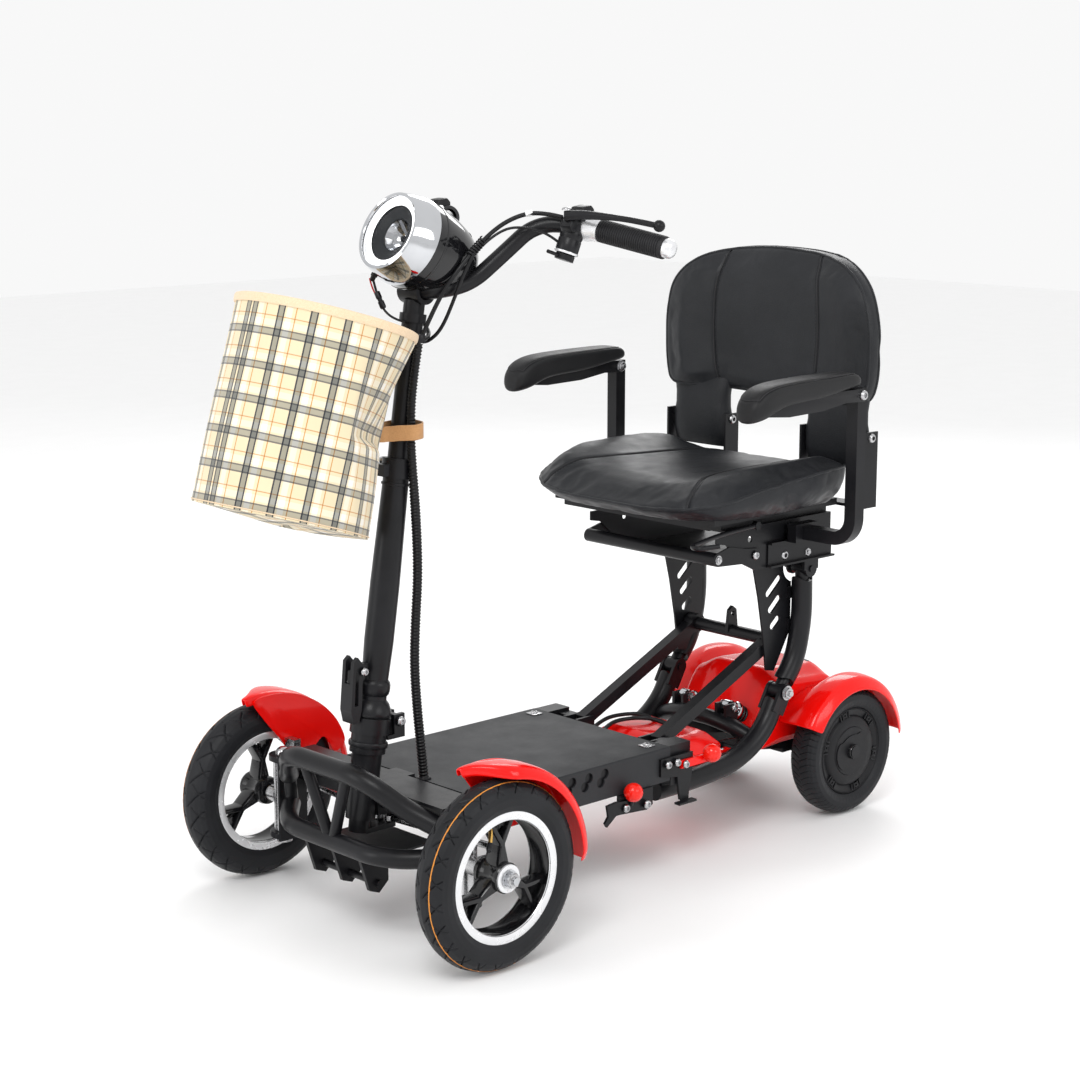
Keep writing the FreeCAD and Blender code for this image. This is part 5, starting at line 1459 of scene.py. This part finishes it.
def basket_cloth():
    """Points, faces and cloth coordinates of the wall and the sagging floor."""
    rows, floor_rows = 64, 14
    turns = around(RING)
    verts, uvs = [], []
    for row in range(rows + 1):
        share = row / rows
        for turn in turns:
            verts.append(mm(*basket_point(turn, share, BASKET_R)))
            uvs.append((turn * BASKET_R / 1000, share * BASKET_WALL))
    faces = ring_faces(rows + 1, RING, caps=False)
    middle = sum(verts[:RING], Vector()) / RING
    base = len(verts)
    for ring in range(1, floor_rows + 1):
        share = 1 - ring / floor_rows
        for k, turn in enumerate(turns):
            sag = -0.007 * (1 - share ** 2) * (1 + 0.35 * math.sin(3 * turn))
            verts.append(middle.lerp(verts[k], share) + Vector((0.0, 0.0, sag)))
            uvs.append((math.cos(turn) * BASKET_R * share / 1000, math.sin(turn) * BASKET_R * share / 1000))
    for ring in range(floor_rows):
        outer = 0 if ring == 0 else base + (ring - 1) * RING
        inner = base + ring * RING
        for k in range(RING):
            after = (k + 1) % RING
            faces.append((outer + after, outer + k, inner + k, inner + after))
    return verts, faces, uvs


def make_basket():
    """Cloth with its plaid, a taped rim and a thin welt round the floor."""
    verts, faces, uvs = basket_cloth()
    mesh = bpy.data.meshes.new("basket_cloth")
    mesh.from_pydata([tuple(v) for v in verts], [], faces)
    layer = mesh.uv_layers.new(name="cloth")
    for polygon in mesh.polygons:
        corners = [uvs[mesh.loops[i].vertex_index] for i in polygon.loop_indices]
        wide = max(u for u, v in corners) - min(u for u, v in corners)
        for i, (u, v) in zip(polygon.loop_indices, corners):
            layer.data[i].uv = (u + TAU * BASKET_R / 1000 if wide > 0.3 and u < 0.3 else u, v)
    cloth = finish_mesh("basket_cloth", mesh, "basket_fabric", None, 60)
    thick = cloth.modifiers.new("thick", "SOLIDIFY")
    thick.thickness = 0.0022
    thick.offset = -1
    apply_modifiers(cloth)
    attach(cloth, "stem")
    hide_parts("basket")
    verts = []
    up = (BASKET_TOP - BASKET_FOOT).normalized()
    for turn in around(RING):
        point = mm(*basket_point(turn, 0.985, BASKET_R + 0.3))
        out = basket_out(turn)
        lumps = 0.25 * math.sin(turn * 37) + 0.2 * math.sin(turn * 61 + 1)
        for a, b in ((1.4 + lumps, -6.5), (2.1 + lumps, -4), (2.5 + lumps, 1), (1.9 + lumps, 4.2), (-0.6, 5.4),
                     (-3.0, 4.2), (-3.6, 0), (-3.4, -6), (-3.0, -6.5)):
            verts.append(point + (out * a + up * b) / 1000)
    piece_from("basket_rim", verts, ring_faces(RING, 9, loop=True), "cream_tape", "stem", crease=50)
    seam = [mm(*basket_point(turn, 0.012, BASKET_R + 0.6)) for turn in around(RING)]
    welt = tube_mesh(seam, 0.9, 8)[0]
    piece_from("basket_welt", welt, ring_faces(RING, 8, loop=True), "cream_tape", "stem", crease=60)
    make_strap()


def make_strap():
    """Tan strap from the basket round the stem and the conduit."""
    count = 120
    outer = smooth_loop([(-81, 0), (-76, -13), (-62, -18), (-42, -16), (-26, -12), (-14, -14), (-8, -10),
                         (-9, 8), (-16, 13), (-28, 17), (-40, 27), (-53, 36.5), (-69, 35.5), (-79, 21)], count)
    verts = []
    for k, (x, y) in enumerate(outer):
        ax, ay = outer[(k + 1) % count] - outer[k - 1]
        size = math.hypot(ax, ay)
        nx, ny = ay / size, -ax / size
        wave = 0.6 * math.sin(k * 0.31) + 0.3 * math.sin(k * 0.77)
        tilt = -0.05 * (x + 60)
        for depth, z in ((0, 658.5), (0.3, 659), (0.3, 678.4), (0, 679), (-1.7, 679), (-2.0, 678.4),
                         (-2.0, 659), (-1.7, 658.5)):
            verts.append(mm(x + nx * depth, y + ny * depth, z + wave * 0.4 + tilt))
    piece_from("basket_strap", verts, ring_faces(count, 8, loop=True), "tan_tape", "stem", crease=50)


# ---------------------------------------------------------------- column, springs, latches
COLUMN_SLOPE = 0.152  # the column leans back this much for each mm of height
COLUMN_FOOT = 226


def make_column_details():
    """Bolts of the folding joint, a band under the clamp and the collars above and below the joint."""
    bolts("column_bolts",
          [(-41, 16.2, 273, (0, 1, 0), 7, 4.6, "button"), (-41, -16.2, 273, (0, -1, 0), 7, 6, "nut")],
          "steerer")
    bolts("latch_bolts", [(19, 15.2, 352, (0, 1, 0), 6, 3.6, "button"),
                          (19, -15.2, 352, (0, -1, 0), 6, 5, "nut")],
          "latch")
    bolts("clamp_bolts", [(-53, -29, 624.4, (0, 0, 1), 7, 4, "button")], "quick_release")
    slant = (-COLUMN_SLOPE, 0, 1)
    band = lathe_mesh([(17.8, -2), (19.2, -1.6), (19.4, 0), (19.2, 1.6), (17.8, 2)],
                      mm(6 - COLUMN_SLOPE * (596 - COLUMN_FOOT), 0, 596), slant, 64)
    piece_from("column_band", *band, "frame_black", "tiller")
    rings = {"tiller": [(23.4, 284.6), (26.6, 286), (27.4, 288.5), (27.0, 292), (25.4, 297), (22.8, 303),
                        (18.6, 308), (18.4, 313), (20.8, 316), (21.9, 321), (21.9, 328), (20.8, 332),
                        (18.3, 335), (17.6, 330), (17.6, 300)],
             "steerer": [(23.8, 243.6), (26.4, 244.2), (26.8, 246), (26.8, 249.5), (26.2, 251), (23.8, 251.6)]}
    for body, profile in rings.items():
        longer = math.sqrt(1 + COLUMN_SLOPE ** 2)
        collar = lathe_mesh([(r, (z - COLUMN_FOOT) * longer) for r, z in profile], mm(6, 0, COLUMN_FOOT),
                            slant, 72)
        piece_from(f"column_collar_{body}", *collar, "frame_black", body)


def coil(name, top, foot, radius, wire, turns):
    """Wound spring between two points, riding no body, with its placing baked into its points."""
    axis = foot - top
    u, w, _ = basis(axis)
    count = int(turns * 30)
    path = []
    for k in range(count + 1):
        turn = TAU * turns * k / count
        path.append(mm(*(top + axis * k / count + (u * math.cos(turn) + w * math.sin(turn)) * radius)))
    piece = piece_from(name, *tube_mesh(path, wire, 12), "spring_black", None, crease=60)
    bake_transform(piece)
    return piece


def make_shocks():
    """Coil springs, bright upper eyes, adjusting rings and bolts of the two shock absorbers."""
    for name, side in SIDES.items():
        top, foot = Vector((-686, side * 45, 171.5)), Vector((-712, side * 45, 154.7))
        spring = coil(f"shock_spring_{name}", top, foot, 12.2, 1.9, 4.5)
        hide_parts("shock_springs")
        down = (foot - top).normalized()
        lathe(f"shock_cup_{name}", [(5.2, -4), (13, -4), (14.6, -2.5), (14.6, 0.5), (13.6, 1.6), (5.2, 1.6)],
              mm(*(top - down * 2.5)), down, "chrome", "chassis", 48)
        lathe(f"shock_ring_{name}",
              [(10.2, 0), (14.2, 0), (15.2, 1), (15.2, 5), (14.2, 6), (13.2, 6), (13.2, 8), (14.6, 9),
               (14.6, 12), (13.1, 13), (10.2, 13)], mm(*foot), down, "chrome",
              "rear_unit", 20)
        lathe(f"shock_eye_{name}",
              [(5.6, -6.9), (9.3, -6.9), (10.4, -5.4), (10.4, 5.4), (9.3, 6.9), (5.6, 6.9)],
              mm(-668, side * 45, 183), (0, 1, 0), "chrome", "chassis", 40)
        bolts(f"shock_bolts_{name}", [(-668, side * 57.2, 183, (0, side, 0), 6.6, 4, "button"),
                                      (-668, side * 32.8, 183, (0, -side, 0), 6.6, 4.6, "nut")], "chassis")


def make_deck_details():
    """Square washers with screws on the deck's rear corners."""
    x0, x1, z0, z1 = -422, -404, DECK_TOP + 0.02, DECK_TOP + 1.8
    for name, side in SIDES.items():
        middle = side * 118.7
        washer = slab_mesh([(x0, z0), (x1, z0), (x1, z1), (x0, z1)], middle - 9, middle + 9, 0.4)
        piece_from(f"deck_washer_{name}", *washer, "steel_bright", "chassis")
        bolts(f"deck_screw_{name}", [(-413, middle, z1, (0, 0, 1), 5.4, 3, "button")],
              "chassis")


def make_knobs():
    """Ball knobs of the two frame latches, and their screws."""
    for name, place, body in (("front", (-344, 161, 141), "front_latch"),
                              ("rear", (-504, 163, 167), "rear_latch")):
        ball = ball_mesh(place, 13.8, (-1.25, -0.95, -0.65, -0.35, -0.05, 0.3, 0.6, 0.9, 1.2), 48)
        piece_from(f"latch_knob_{name}", *ball, "knob_red", body, crease=60)
    bolts("latch_screws",
          [(-380, 153.2, 114, (0, 1, 0), 6.4, 3.6, "button"), (-336, 155, 118, (0, 1, 0), 6, 3.6, "button"),
                           (-457, 155.6, 158, (0, 1, 0), 6, 3.6, "button"),
           (-423, 153.1, 163, (0, 1, 0), 6, 3.6, "button"),
                           (-442, 153.1, 163, (0, 1, 0), 6, 3.6, "button")], "chassis")


# ---------------------------------------------------------------- CAD finishes and the whole
def paint_cad():
    """Give every CAD piece the finish of its own slot in the record."""
    for entry in frame["record"]["subparts"]:
        piece = frame["nodes"][entry["node"]]
        piece.data.materials.clear()
        piece.data.materials.append(MATERIALS[entry["material_slot"]])
        piece.data.shade_smooth()
        piece.data.set_sharp_from_angle(angle=math.radians(32))


make_camera()
MATERIALS.update(make_materials())
for build in (make_conduit, make_bar_cables, make_leads, paint_cad, make_studio, make_front_tyres,
              make_rear_tyres, make_front_wheels, make_rear_hubs, make_front_fenders, make_rear_cowling,
              make_controller_cover, make_cushion, make_backrest, make_back_stalks, make_armrests,
              make_seat_bolts, make_headlight, make_grips, make_pods, make_levers, make_basket,
              make_column_details, make_shocks, make_deck_details, make_knobs):
    build()
